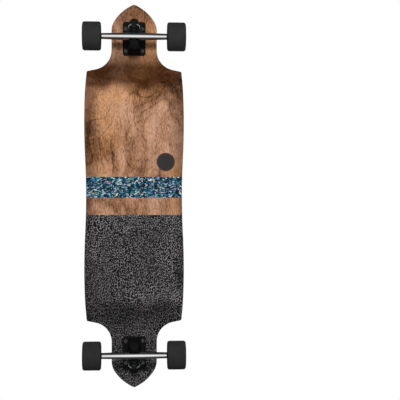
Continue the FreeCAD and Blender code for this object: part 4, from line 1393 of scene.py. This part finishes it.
@dataclass
class DeckForm:
    """The deck's outline, bend and section, as the CAD layers have them, with worn round edges."""

    length: float = 0.960
    nose_length: float = 0.066
    nose_shoulder_radius: float = 0.046
    nose_shoulder_turn: float = 33.0
    tip_radius: float = 0.004
    neck_width: float = 0.113
    well_radius: float = 0.0487
    well_turn: float = 79.0
    shoulder_reach: float = 0.313
    shoulder_width: float = 0.2374
    shoulder_corner_radius: float = 0.004
    hip_reach: float = 0.186
    hip_width: float = 0.2484
    waist_width: float = 0.239
    drop: float = 0.017
    slope_outer_reach: float = 0.335
    slope_length: float = 0.080
    flat_width: float = 0.064
    concave_rise: float = 0.009
    thickness: float = 0.0115
    core_bottom: float = 0.0014
    core_top: float = 0.0106
    glue_line: float = 0.00002
    strip_width: float = 0.138
    strip_end_width: float = 0.158
    strip_straight_reach: float = 0.150
    sheet_seam: float = 0.0003
    bottom_round: float = 0.0032
    top_round: float = 0.0026
    columns: int = 33
    edge_steps: int = 5
    side_bend_steps: int = 20
    side_hip_steps: int = 28
    shoulder_corner_steps: int = 8
    well_lip_points: int = 7
    well_steps: int = 24
    neck_points: int = 16
    nose_shoulder_steps: int = 8
    flank_steps: int = 24
    tip_steps: int = 12
    settling_rounds: int = 8
    bolt_hole_radius: float = 0.0027
    bolt_clearance: float = 0.0003
    bolt_head_height: float = 0.0023
    hole_segments: int = 24
    level_name = "ply_level"
    mount_height: float = field(init=False)
    outline: np.ndarray = field(init=False)
    normals: np.ndarray = field(init=False)

    def __post_init__(self) -> None:
        """Read the underside's height from the frame and work out the outline."""
        self.mount_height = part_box("front_baseplate")[1].z
        quarter = self.quarter()
        tail = quarter[::-1] * (-1, 1)
        self.outline = np.vstack([tail, quarter[1:]])
        along = np.gradient(self.outline, axis=0)
        along[0], along[-1] = (0.0, 1.0), (0.0, -1.0)
        across = np.column_stack([-along[:, 1], along[:, 0]])
        self.normals = across / np.linalg.norm(across, axis=1, keepdims=True)

    def quarter(self) -> np.ndarray:
        """Points of the outline from the waist to the nose on the left side."""
        tip = np.array([self.length / 2, 0.0])
        neck = self.neck_width / 2
        start = tip[0] - self.nose_length
        turn = math.radians(self.nose_shoulder_turn)

        def on_shoulder(angle: float) -> tuple[float, float]:
            """A point of the arc between neck and nose flank."""
            radius = self.nose_shoulder_radius
            return (start + radius * math.sin(angle), neck - radius * (1 - math.cos(angle)))

        flank = on_shoulder(turn)
        across = tip - flank
        chord = np.linalg.norm(across)
        sagitta = chord / 2 * math.tan((math.atan2(-across[1], across[0]) - turn) / 2)
        flank_middle = (tip + flank) / 2 + sagitta * np.array([-across[1], across[0]]) / chord
        corner = (self.shoulder_reach, self.shoulder_width / 2)
        sweep = math.radians(self.well_turn)
        well_top = neck + self.well_radius * (1 - math.cos(sweep))
        well_end = (corner[0] + (corner[1] - well_top) / math.tan(sweep), well_top)
        well_start = (well_end[0] + self.well_radius * math.sin(sweep), neck)
        well_middle = (
            well_start[0] - self.well_radius * math.sin(sweep / 2),
            neck + self.well_radius * (1 - math.cos(sweep / 2)),
        )
        hip = (self.hip_reach, self.hip_width / 2)
        waist = (0.0, self.waist_width / 2)
        bend = (hip[0] / 2, (hip[1] + waist[1]) / 2)
        side = np.vstack([
            tangent_arc(waist, bend, self.side_bend_steps),
            tangent_arc(hip, bend, self.side_bend_steps)[::-1][1:],
            tangent_arc(hip, corner, self.side_hip_steps)[1:],
        ])
        well = np.vstack([
            np.linspace(corner, well_end, self.well_lip_points),
            arc_points(well_end, well_middle, well_start, self.well_steps)[1:],
            np.linspace(well_start, (start, neck), self.neck_points)[1:],
            arc_points((start, neck), on_shoulder(turn / 2), flank, self.nose_shoulder_steps)[1:],
        ])
        point = arc_points(flank, flank_middle, tip, self.flank_steps)
        nose = round_corner(point, point[::-1] * (1, -1), self.tip_radius, self.tip_steps)
        nose = nose[nose[:, 1] > -MERGE_DISTANCE]
        nose[-1, 1] = 0.0
        joined = round_corner(side, well, self.shoulder_corner_radius, self.shoulder_corner_steps)
        return np.vstack([joined, nose[1:]])

    def inset(self, level: float) -> float:
        """How far the round edge stands back from the outline at a height above the underside."""
        for radius, depth in ((self.bottom_round, level), (self.top_round, self.thickness - level)):
            if depth < radius:
                return radius - math.sqrt(radius ** 2 - (radius - depth) ** 2)
        return 0.0

    def path(self, along: np.ndarray) -> Edges:
        """Height and slope of the underside's centre line below the truck mounts.

        Args:
            along: Places along the board.

        Returns:
            Heights, and slopes as angles.
        """
        reach = np.abs(along)
        turn = 2 * math.atan2(self.drop, self.slope_length)
        radius = self.slope_length / (2 * math.sin(turn))
        foot = self.slope_outer_reach - self.slope_length
        from_top = np.clip(self.slope_outer_reach - reach, 0.0, self.slope_length / 2)
        from_foot = np.clip(reach - foot, 0.0, self.slope_length / 2)
        upper = reach > foot + self.slope_length / 2
        fall = np.where(upper, from_top, from_foot)
        arc = radius - np.sqrt(radius ** 2 - fall ** 2)
        height = np.where(upper, -arc, arc - self.drop)
        return height, np.sign(along) * np.arcsin(fall / radius)

    def surface(self, along: np.ndarray, across: np.ndarray, level: float) -> np.ndarray:
        """Points of the deck at plan places and a height above the underside, square to it.

        Args:
            along: Places along the board.
            across: Places across it.
            level: Height of the layer.

        Returns:
            Points, in the same grid as the places.
        """
        span = self.hip_width / 2 - self.flat_width / 2
        radius = (span ** 2 + self.concave_rise ** 2) / (2 * self.concave_rise)
        bow = np.maximum(np.abs(across) - self.flat_width / 2, 0.0)
        lift = radius - np.sqrt((radius - level) ** 2 - bow ** 2)
        foot = along
        for _ in range(self.settling_rounds):
            foot = along + lift * np.sin(self.path(foot)[1])
        height, slope = self.path(foot)
        up = self.mount_height + height + lift * np.cos(slope)
        return np.stack([along, across, up], axis=-1)

    def strip_edge(self, along: np.ndarray) -> np.ndarray:
        """Half width of the printed strip along the board."""
        half = self.strip_width / 2
        run = self.shoulder_reach - self.strip_straight_reach
        turn = 2 * math.atan2(self.strip_end_width / 2 - half, run)
        radius = run / math.sin(turn)
        past = np.maximum(np.abs(along) - self.shoulder_reach, 0.0)
        reach = np.clip(np.abs(along) - self.strip_straight_reach, 0.0, run)
        return half + radius - np.sqrt(radius ** 2 - reach ** 2) + past * math.tan(turn)

    def full_span(self, along: np.ndarray, half: np.ndarray) -> Edges:
        """The whole width of the deck."""
        return -half, half

    def strip_span(self, along: np.ndarray, half: np.ndarray) -> Edges:
        """The printed strip's width."""
        edge = np.minimum(self.strip_edge(along), half)
        return -edge, edge

    def grip_span(self, side: Side) -> Span:
        """The width of one grip panel, as a function of the place along the board."""

        def span(along: np.ndarray, half: np.ndarray) -> Edges:
            """From the seam to the rim."""
            inner = np.minimum(self.strip_edge(along) + self.sheet_seam, half)
            return (inner, half) if side is Side.LEFT else (-half, -inner)

        return span

    def shell(
        self,
        name: str,
        bottom: float,
        top: float,
        span: Span,
        rows: Optional[np.ndarray] = None,
    ) -> Piece:
        """A closed layer of the deck between two heights.

        Args:
            name: Name of the piece.
            bottom: Height of its lower face.
            top: Height of its upper face.
            span: Gives its two sides from the places along the board and the half widths.
            rows: Which rows of the outline it covers, or all of them.

        Returns:
            The layer's mesh object, with each point's height as an attribute.
        """
        chosen = slice(None) if rows is None else rows
        outline, normals = self.outline[chosen], self.normals[chosen]
        shares = np.linspace(0.0, 1.0, self.columns)
        levels = np.linspace(bottom, top, self.edge_steps)
        sheets = []
        for level in levels:
            rim = outline - normals * self.inset(level)
            low, high = span(rim[:, 0], np.maximum(rim[:, 1], 0.0))
            across = low[:, None] + (high - low)[:, None] * shares[None, :]
            along = np.repeat(rim[:, :1], self.columns, axis=1)
            sheets.append(self.surface(along, across, level))
        height, width = len(outline), self.columns
        points = np.concatenate([sheet.reshape(-1, 3) for sheet in sheets])
        size = height * width
        number = np.arange(size).reshape(height, width)
        faces = []
        for base, flip in ((0, True), (size * (len(levels) - 1), False)):
            corners = [number[:-1, :-1], number[1:, :-1], number[1:, 1:], number[:-1, 1:]]
            quads = np.stack(corners[::-1] if flip else corners, axis=-1).reshape(-1, 4) + base
            faces.append(quads)
        loop = np.concatenate([number[:, 0], number[-1, 1:], number[-2::-1, -1], number[0, -2:0:-1]])
        ahead = np.roll(loop, -1)
        for step in range(len(levels) - 1):
            below, above = step * size, (step + 1) * size
            faces.append(np.stack([loop + below, ahead + below, ahead + above, loop + above], axis=-1))
        used = np.concatenate(faces)
        kept, renumbered = np.unique(used, return_inverse=True)
        piece = mesh_piece(name, points[kept], faces=renumbered.reshape(used.shape).tolist())
        ply = np.repeat(levels / self.thickness, size)[kept]
        mark_points(piece, self.level_name, ply.astype(np.float32))
        tidy_mesh(piece)
        return piece

    def bolt_holes(self) -> Piece:
        """One cutter for all the countersunk bolt holes."""
        mesh = bpy.data.meshes.new("bolt_holes")
        with edited(mesh) as form:
            for end in End:
                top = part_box(f"{end.word}_deck_bolts")[1].z
                for x, y in bolt_spots(end):
                    self.add_hole(form, Vector((x, y, top)))
            bmesh.ops.recalc_face_normals(form, faces=form.faces)
        return linked("bolt_holes", mesh)

    def add_hole(self, form: bmesh.types.BMesh, head: Vector) -> None:
        """Add one countersunk hole to the cutter.

        Args:
            form: The cutter's mesh.
            head: Middle of the bolt head's top.
        """
        wide = BOLT_HEAD_RADIUS + self.bolt_clearance
        over = self.thickness
        segments = self.hole_segments
        rings = []
        for radius, height in (
            (wide, over),
            (wide, 0.0),
            (self.bolt_hole_radius, -self.bolt_head_height),
            (self.bolt_hole_radius, -2 * over),
        ):
            turns = [math.tau * step / segments for step in range(segments)]
            rings.append([
                form.verts.new(head + Vector((radius * math.cos(turn), radius * math.sin(turn), height)))
                for turn in turns
            ])
        for upper, lower in zip(rings, rings[1:]):
            for step in range(segments):
                ahead = (step + 1) % segments
                form.faces.new((upper[step], upper[ahead], lower[ahead], lower[step]))
        form.faces.new(rings[0])
        form.faces.new(rings[-1][::-1])


@dataclass
class Deck:
    """The pressed deck with its face veneer, printed strip and grip panels."""

    form: DeckForm = field(default_factory=DeckForm)
    ply: Finish = Ply("maple_core", roughness=0.5)
    underside: Finish = Underside("walnut_veneer", roughness=0.45, specular=0.08, bump=0.00003)
    strip: Finish = TopPrint("printed_sheet", roughness=0.46, specular=0.35, bump=0.00008)
    grip: Finish = GripTape("grip_tape", roughness=0.92, specular=0.15, bump=0.00025)

    def build(self) -> None:
        """Make every layer and cut the bolt holes."""
        form = self.form
        cutter = form.bolt_holes()
        veneer_top, sheet_bottom = form.core_bottom - form.glue_line, form.core_top + form.glue_line
        layers = (
            ("deck_core", form.core_bottom, form.core_top, form.full_span, self.ply, "deck"),
            ("deck_underside", 0.0, veneer_top, form.full_span, self.underside, "underside_veneer"),
            ("deck_strip", sheet_bottom, form.thickness, form.strip_span, self.strip, "top_print"),
        )
        for name, bottom, top, span, finish, node in layers:
            piece = form.shell(name, bottom, top, span)
            cut = piece.modifiers.new("bolt_holes", "BOOLEAN")
            cut.object = cutter
            cut.solver = "EXACT"
            apply_modifiers(piece)
            smooth_by_angle(piece)
            add_piece(piece, BOARD, finish, [node])
        bpy.data.objects.remove(cutter)
        for side in Side:
            self.build_grip(side)

    def build_grip(self, side: Side) -> None:
        """Make one grip panel with its loose grains.

        Args:
            side: Which panel.
        """
        form = self.form
        half = form.outline[:, 1]
        rows = half > form.strip_edge(form.outline[:, 0]) + form.sheet_seam
        bottom = form.core_top + form.glue_line
        piece = form.shell(f"{side.word}_grip_panel", bottom, form.thickness, form.grip_span(side), rows)
        GritField().shape(piece, self.grip)
        smooth_by_angle(piece)
        add_piece(piece, BOARD, self.grip, [f"{side.word}_grip"])


# Trucks
@dataclass
class Truck:
    """One reverse-kingpin truck: castings, kingpin stack, axle and their fasteners."""

    end: End
    casting_voxel: float = 0.00055
    casting_passes: int = 9
    broken_edge: float = 0.0003
    bushing_radius: float = 0.014
    bushing_height: float = 0.015
    bushing_bore: float = 0.0049
    ring_web: float = 0.008
    ring_reach: float = 0.027
    bushing_corner: float = 0.0012
    washer_radius: float = 0.0156
    washer_thickness: float = 0.002
    washer_lip: float = 0.0012
    washer_lip_height: float = 0.0014
    washer_corner: float = 0.0005
    dish_slope: Marks = (0.0130, 0.0146)
    dish_depth: float = 0.0015
    dish_floor: float = 0.0018
    insert_radii: Marks = (0.00486, 0.0060)
    insert_reach: Marks = (0.0278, 0.0288)
    stack_segments: int = 64
    insert_segments: int = 48
    axle_thread: float = 0.0020
    axle_pitch: float = 0.0011
    kingpin_radius: float = 0.00476
    kingpin_thread: Marks = (0.0283, 0.0300)
    kingpin_pitch: float = 0.0011
    bolt_radius: float = 0.0024
    bolt_thread: float = 0.0011
    bolt_pitch: float = 0.0008
    paint: Finish = Cast(
        "black_casting",
        roughness=0.62,
        specular=0.1,
        low=(0.006, 0.006, 0.0063),
        high=(0.011, 0.011, 0.0115),
        bump=0.00004,
    )
    bright: Finish = Polished("polished_casting", roughness=0.10, metallic=1.0, spread=0.04, bump=0.0000008)
    rubber: Finish = Cast(
        "bushing_urethane",
        roughness=0.34,
        coat=0.25,
        low=(0.003, 0.022, 0.028),
        high=(0.006, 0.040, 0.050),
        grains=260.0,
        bump=0.00002,
    )
    blacked: Finish = Polished(
        "black_hardware",
        roughness=0.34,
        metallic=0.85,
        low=(0.050, 0.050, 0.052),
        high=(0.095, 0.095, 0.098),
        bump=0.000003,
    )
    zinc: Finish = Polished(
        "zinc_steel",
        roughness=0.36,
        metallic=1.0,
        low=(0.45, 0.45, 0.44),
        high=(0.62, 0.62, 0.61),
    )
    plated: Finish = Plated(
        "zinc_steel",
        roughness=0.4,
        metallic=0.6,
        low=(0.55, 0.55, 0.55),
        high=(0.75, 0.75, 0.74),
    )

    def build(self) -> None:
        """Make and dress every piece of the truck."""
        word = self.end.word
        hanger = self.end.hanger_body
        cast_piece(f"{word}_baseplate", BOARD, self.paint, self.casting_voxel, self.casting_passes)
        cast_piece(f"{word}_hanger", hanger, self.bright, self.casting_voxel, self.casting_passes)
        for part in ("deck_bolts", "deck_nuts", "kingpin", "kingpin_nut"):
            bevelled_piece(f"{word}_{part}", BOARD, self.blacked, self.broken_edge)
        for part in ("axle_nuts", "speed_washers"):
            bevelled_piece(f"{word}_{part}", hanger, self.zinc, self.broken_edge)
        for part in ("axle", "bearing_spacers", "bearing_inner_races"):
            dress_node(f"{word}_{part}", self.zinc)
        dress_node(f"{word}_pivot_cup", self.rubber)
        place = self.ring_frame()
        self.build_bushings(place)
        self.build_washers(place)
        self.build_nut_insert(place)
        self.build_threads(place)

    def ring_frame(self) -> Matrix:
        """Frame at the middle of the bushing ring, with Y up along the kingpin."""
        joint = next(item for item in frame["joints"] if item["name"] == f"{self.end.word}_steer")
        foot, axis = Vector(joint["pos_m"]), Vector(joint["axis"]).normalized()
        side = Vector((0.0, 1.0, 0.0))
        kingpin = axis.cross(side)
        if kingpin.z < 0:
            kingpin = -kingpin
        across = kingpin.cross(axis)
        turn = Matrix((axis, kingpin, -across)).transposed().to_4x4()
        return Matrix.Translation(foot + axis * self.ring_reach) @ turn

    def build_bushings(self, place: Matrix) -> None:
        """Turn the two bushings between the baseplate's washers and the hanger's ring.

        Args:
            place: Frame at the middle of the ring.
        """
        seat, top = self.ring_web / 2, self.ring_web / 2 + self.bushing_height
        corner = self.bushing_corner
        bore, wide = self.bushing_bore, self.bushing_radius
        barrel = ((bore, seat, 0.0), (wide, seat, corner), (wide, top, corner), (bore, top, 0.0))
        for which, sign in KINGPIN_SIDES:
            name = f"{self.end.word}_{which}_bushing"
            profile = [(radius, sign * height, bend) for radius, height, bend in barrel]
            piece = turned_piece(f"{name}_form", profile, self.rubber, place, self.stack_segments)
            self.end.hanger_body
            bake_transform(piece)
            declare_piece(piece, [name])

    def build_washers(self, place: Matrix) -> None:
        """Turn the two cup washers and mark the bare slope inside their rims.

        Args:
            place: Frame at the middle of the ring.
        """
        top = self.ring_web / 2 + self.bushing_height
        wide, bore = self.washer_radius, self.bushing_bore
        lip, back = wide - self.washer_lip, top - self.washer_lip_height
        seat, corner = top + self.washer_thickness, self.washer_corner
        slope_in, slope_out = self.dish_slope
        deep = self.dish_depth
        dip = seat - deep
        half = (
            (bore, top, 0.0),
            (lip, top, 0.0),
            (lip, back, 0.0),
            (wide, back, corner),
            (wide, seat, corner),
            (slope_out, seat, 0.0),
            (slope_in, dip, 0.0),
            (slope_in - self.dish_floor, dip, 0.0),
            (slope_in - self.dish_floor - deep, seat, 0.0),
            (bore, seat, 0.0),
        )
        away = place.inverted()
        for which, sign in KINGPIN_SIDES:
            name = f"{self.end.word}_{which}_washer"
            profile = [(radius, sign * height, bend) for radius, height, bend in half]
            piece = turned_piece(f"{name}_form", profile, self.plated, place, self.stack_segments)
            bare = piece.data.attributes.new(Plated.mask_name, "FLOAT", "FACE")
            for face in piece.data.polygons:
                spot = away @ face.center
                reach = math.hypot(spot.x, spot.z)
                outside = sign * spot.y > dip
                bare.data[face.index].value = float(outside and slope_in < reach < slope_out)
            add_piece(piece, BOARD, self.plated, [name])

    def build_nut_insert(self, place: Matrix) -> None:
        """Turn the soft locking ring in the end of the kingpin nut.

        Args:
            place: Frame at the middle of the ring.
        """
        inner, outer = self.insert_radii
        deep, out = self.insert_reach
        profile = (
            (inner, -deep, 0.0),
            (outer, -deep, 0.0),
            (outer, -out, self.broken_edge),
            (inner, -out, 0.0),
        )
        name = f"{self.end.word}_kingpin_nut_insert"
        piece = turned_piece(name, profile, self.rubber, place, self.insert_segments)
        add_piece(piece, BOARD, self.rubber)

    def build_threads(self, place: Matrix) -> None:
        """Wind the threads that show at the ends of the axle, the kingpin and the deck bolts.

        Args:
            place: Frame at the middle of the ring.
        """
        word = self.end.word
        down = Vector((0.0, 0.0, -1.0))
        low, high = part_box(f"{word}_axle")
        middle = (low + high) / 2
        reach = (high.y - low.y) / 2 - self.axle_thread
        sides = [Vector((0.0, side.sign, 0.0)) for side in Side]
        ends = [(middle + side * reach, side) for side in sides]
        axle = ((high.z - low.z) / 2, self.axle_thread, self.axle_pitch)
        along = (place.to_3x3() @ Vector((0.0, -1.0, 0.0))).normalized()
        start = place.translation + along * self.kingpin_thread[0]
        length = self.kingpin_thread[1] - self.kingpin_thread[0]
        pin = (self.kingpin_radius, length, self.kingpin_pitch)
        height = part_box(f"{word}_deck_bolts")[0].z + self.bolt_thread
        bottoms = [(Vector((x, y, height)), down) for x, y in bolt_spots(self.end)]
        bolts = (self.bolt_radius, self.bolt_thread, self.bolt_pitch)
        for part, starts, sizes, finish, body in (
            ("axle", ends, axle, self.zinc, self.end.hanger_body),
            ("kingpin", [(start, along)], pin, self.blacked, BOARD),
            ("deck_bolt", bottoms, bolts, self.blacked, BOARD),
        ):
            piece = thread_piece(f"{word}_{part}_threads", starts, finish, *sizes)
            add_piece(piece, body, finish)


# Wheels
@dataclass
class Wheel:
    """One wheel: the tyre, its core and the bearings."""

    end: End
    side: Side
    lip_radius: float = 0.0054
    face_radius: float = 0.026
    core_radius: float = 0.0185
    core_half_width: float = 0.0165
    face_corner: float = 0.0015
    broken_edge: float = 0.0004
    tyre: Finish = Cast(
        "wheel_urethane",
        roughness=0.65,
        specular=0.1,
        low=(0.025, 0.024, 0.0245),
        high=(0.036, 0.035, 0.0355),
        grains=520.0,
        bump=0.00003,
    )
    hub: Finish = Cast(
        "core_nylon",
        roughness=0.45,
        low=(0.03, 0.03, 0.031),
        high=(0.05, 0.05, 0.052),
        grains=900.0,
    )
    steel: Finish = Polished("bearing_steel", roughness=0.22, metallic=1.0)
    shield: Finish = Polished(
        "shield_steel",
        roughness=0.3,
        metallic=0.9,
        low=(0.03, 0.03, 0.032),
        high=(0.06, 0.06, 0.062),
    )

    @property
    def word(self) -> str:
        """The name that this wheel's nodes start with."""
        return f"{self.end.word}_{self.side.word}"

    def build(self) -> None:
        """Make and dress every piece of the wheel."""
        body = f"{self.word}_wheel_assembly"
        low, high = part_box(f"{self.word}_wheel")
        radius, half = (high.z - low.z) / 2, (high.y - low.y) / 2
        profile = (
            (self.core_radius, -self.core_half_width, 0.0),
            (self.face_radius, -half, self.face_corner),
            (radius, -half, self.lip_radius),
            (radius, half, self.lip_radius),
            (self.face_radius, half, self.face_corner),
            (self.core_radius, self.core_half_width, 0.0),
        )
        place = Matrix.Translation((low + high) / 2)
        tyre = turned_piece(f"{self.word}_tyre", profile, self.tyre, place)
        add_piece(tyre, body, self.tyre, [f"{self.word}_wheel"])
        bevelled_piece(f"{self.word}_core", body, self.hub, self.broken_edge)
        for part in ("outer_races", "balls"):
            dress_node(f"{self.word}_bearing_{part}", self.steel)
        dress_node(f"{self.word}_bearing_shields", self.shield)


# Studio
@dataclass(frozen=True)
class Softbox:
    """One area lamp, and how often its light may bounce."""

    name: str
    place: Point
    size: float
    power: float
    bounces: int = 12


@dataclass
class Studio:
    """Camera at the photograph's view of the underside, soft lamps, pale floor and white background."""

    image_size: float = 400.0
    deck_centre_px: Marks = (134.2, 196.1)
    lens: float = 85.0
    sensor: float = 36.0
    metres_to_a_px: float = 0.00251
    floor_half: float = 6.0
    floor_drop: float = 0.0004
    floor_colour: Colour = (0.90, 0.90, 0.90)
    floor_fade: Marks = (2.6, 0.9)
    ambient: float = 0.36
    horizon: float = 0.03
    zenith: float = 1.25
    pole_power: float = 6.0
    softboxes: Sequence[Softbox] = (
        Softbox("key_below", (0.78, 0.0, -1.95), 0.34, 28.5, bounces=0),
        Softbox("key_above", (0.7, -1.0, 1.9), 1.3, 24.0),
        Softbox("fill_above", (-0.9, 1.2, 1.7), 1.3, 12.0),
    )

    def build(self, target_height: float) -> None:
        """Set up the whole studio.

        Args:
            target_height: Height of the deck plane that the camera is scaled to.
        """
        bpy.context.scene.view_settings.view_transform = "Standard"
        self.build_camera(target_height)
        self.build_world()
        self.build_floor()
        for box in self.softboxes:
            self.build_softbox(box, Vector((0.0, 0.0, target_height)))

    def build_camera(self, target_height: float) -> None:
        """Stand the camera under the board's middle, nose up in the picture.

        Args:
            target_height: Height of the deck plane.
        """
        focal_px = self.lens / self.sensor * self.image_size
        data = bpy.data.cameras.new("photo_camera")
        data.lens = self.lens
        data.sensor_width = self.sensor
        camera = linked("photo_camera", data)
        bpy.context.scene.camera = camera
        middle = self.image_size / 2
        pan = math.atan((middle - self.deck_centre_px[0]) / focal_px)
        tilt = math.atan((middle - self.deck_centre_px[1]) / focal_px)
        upright = Matrix(((0.0, 1.0, 0.0), (1.0, 0.0, 0.0), (0.0, 0.0, -1.0)))
        turned = upright @ Matrix.Rotation(-pan, 3, "Y") @ Matrix.Rotation(-tilt, 3, "X")
        distance = focal_px * self.metres_to_a_px
        camera.matrix_world = Matrix.Translation((0.0, 0.0, target_height - distance)) @ turned.to_4x4()

    def build_world(self) -> None:
        """White for the camera, a dark horizon between pale poles in reflections, and soft fill."""
        world = bpy.data.worlds.new("studio")
        bpy.context.scene.world = world
        world.use_nodes = True
        graph = Graph(world.node_tree)
        background = world.node_tree.nodes["Background"]
        path = graph.node("ShaderNodeLightPath").outputs
        seen = graph.math("MAXIMUM", path["Is Camera Ray"], path["Is Transmission Ray"])
        direction = graph.node("ShaderNodeTexCoord").outputs["Generated"]
        steep = graph.math("ABSOLUTE", graph.axes(direction)[2])
        poles = graph.math("POWER", steep, self.pole_power)
        glow = graph.math("MULTIPLY_ADD", poles, self.zenith, self.horizon)
        grey = graph.first("ShaderNodeCombineColor", dict.fromkeys(range(3), glow))
        fill = graph.mix(path["Is Glossy Ray"], (self.ambient,) * 3, grey)
        graph.feed(background.inputs["Color"], graph.mix(seen, fill, (1.0, 1.0, 1.0)))

    def build_floor(self) -> None:
        """A pale floor that shows from above only, fades out and lets the lamps below shine through."""
        half = self.floor_half
        corners = np.array([(-half, -half), (half, -half), (half, half), (-half, half)])
        points = np.column_stack([corners, np.full(4, CAD_BOX[0].z - self.floor_drop)])
        floor = mesh_piece("floor", points, faces=[(0, 1, 2, 3)])
        material = bpy.data.materials.new("floor")
        material.use_nodes = True
        tree = material.node_tree
        tree.nodes.remove(tree.nodes["Principled BSDF"])
        graph = Graph(tree)
        back = graph.node("ShaderNodeNewGeometry").outputs["Backfacing"]
        camera = graph.node("ShaderNodeLightPath").outputs["Is Camera Ray"]
        away = graph.vector("LENGTH", graph.node("ShaderNodeTexCoord").outputs["Object"])
        near = graph.step(away, *self.floor_fade)
        shown = graph.times(camera, near, graph.math("SUBTRACT", 1.0, back))
        matt = graph.first("ShaderNodeBsdfDiffuse", {"Color": self.floor_colour})
        clear = graph.first("ShaderNodeBsdfTransparent")
        surface = graph.first("ShaderNodeMixShader", {0: shown, 1: clear, 2: matt})
        graph.feed(tree.nodes["Material Output"].inputs["Surface"], surface)
        floor.data.materials.append(material)

    def build_softbox(self, box: Softbox, target: Vector) -> None:
        """Add one lamp that looks at the board.

        Args:
            box: The lamp.
            target: Point that it looks at.
        """
        data = bpy.data.lights.new(box.name, "AREA")
        data.shape = "SQUARE"
        data.size = box.size
        data.energy = box.power
        data.cycles.max_bounces = box.bounces
        lamp = linked(box.name, data)
        lamp.location = box.place
        lamp.visible_glossy = False
        lamp.rotation_euler = (target - Vector(box.place)).to_track_quat("-Z", "Y").to_euler()


def main() -> None:
    """Build the deck, each truck with its wheels, and the studio."""
    logging.basicConfig(level=logging.INFO, format="%(name)s %(message)s")
    deck = Deck()
    deck.build()
    for end in End:
        Truck(end).build()
        for side in Side:
            Wheel(end, side).build()
    Studio().build(deck.form.mount_height)


if __name__ == "__main__":
    main()
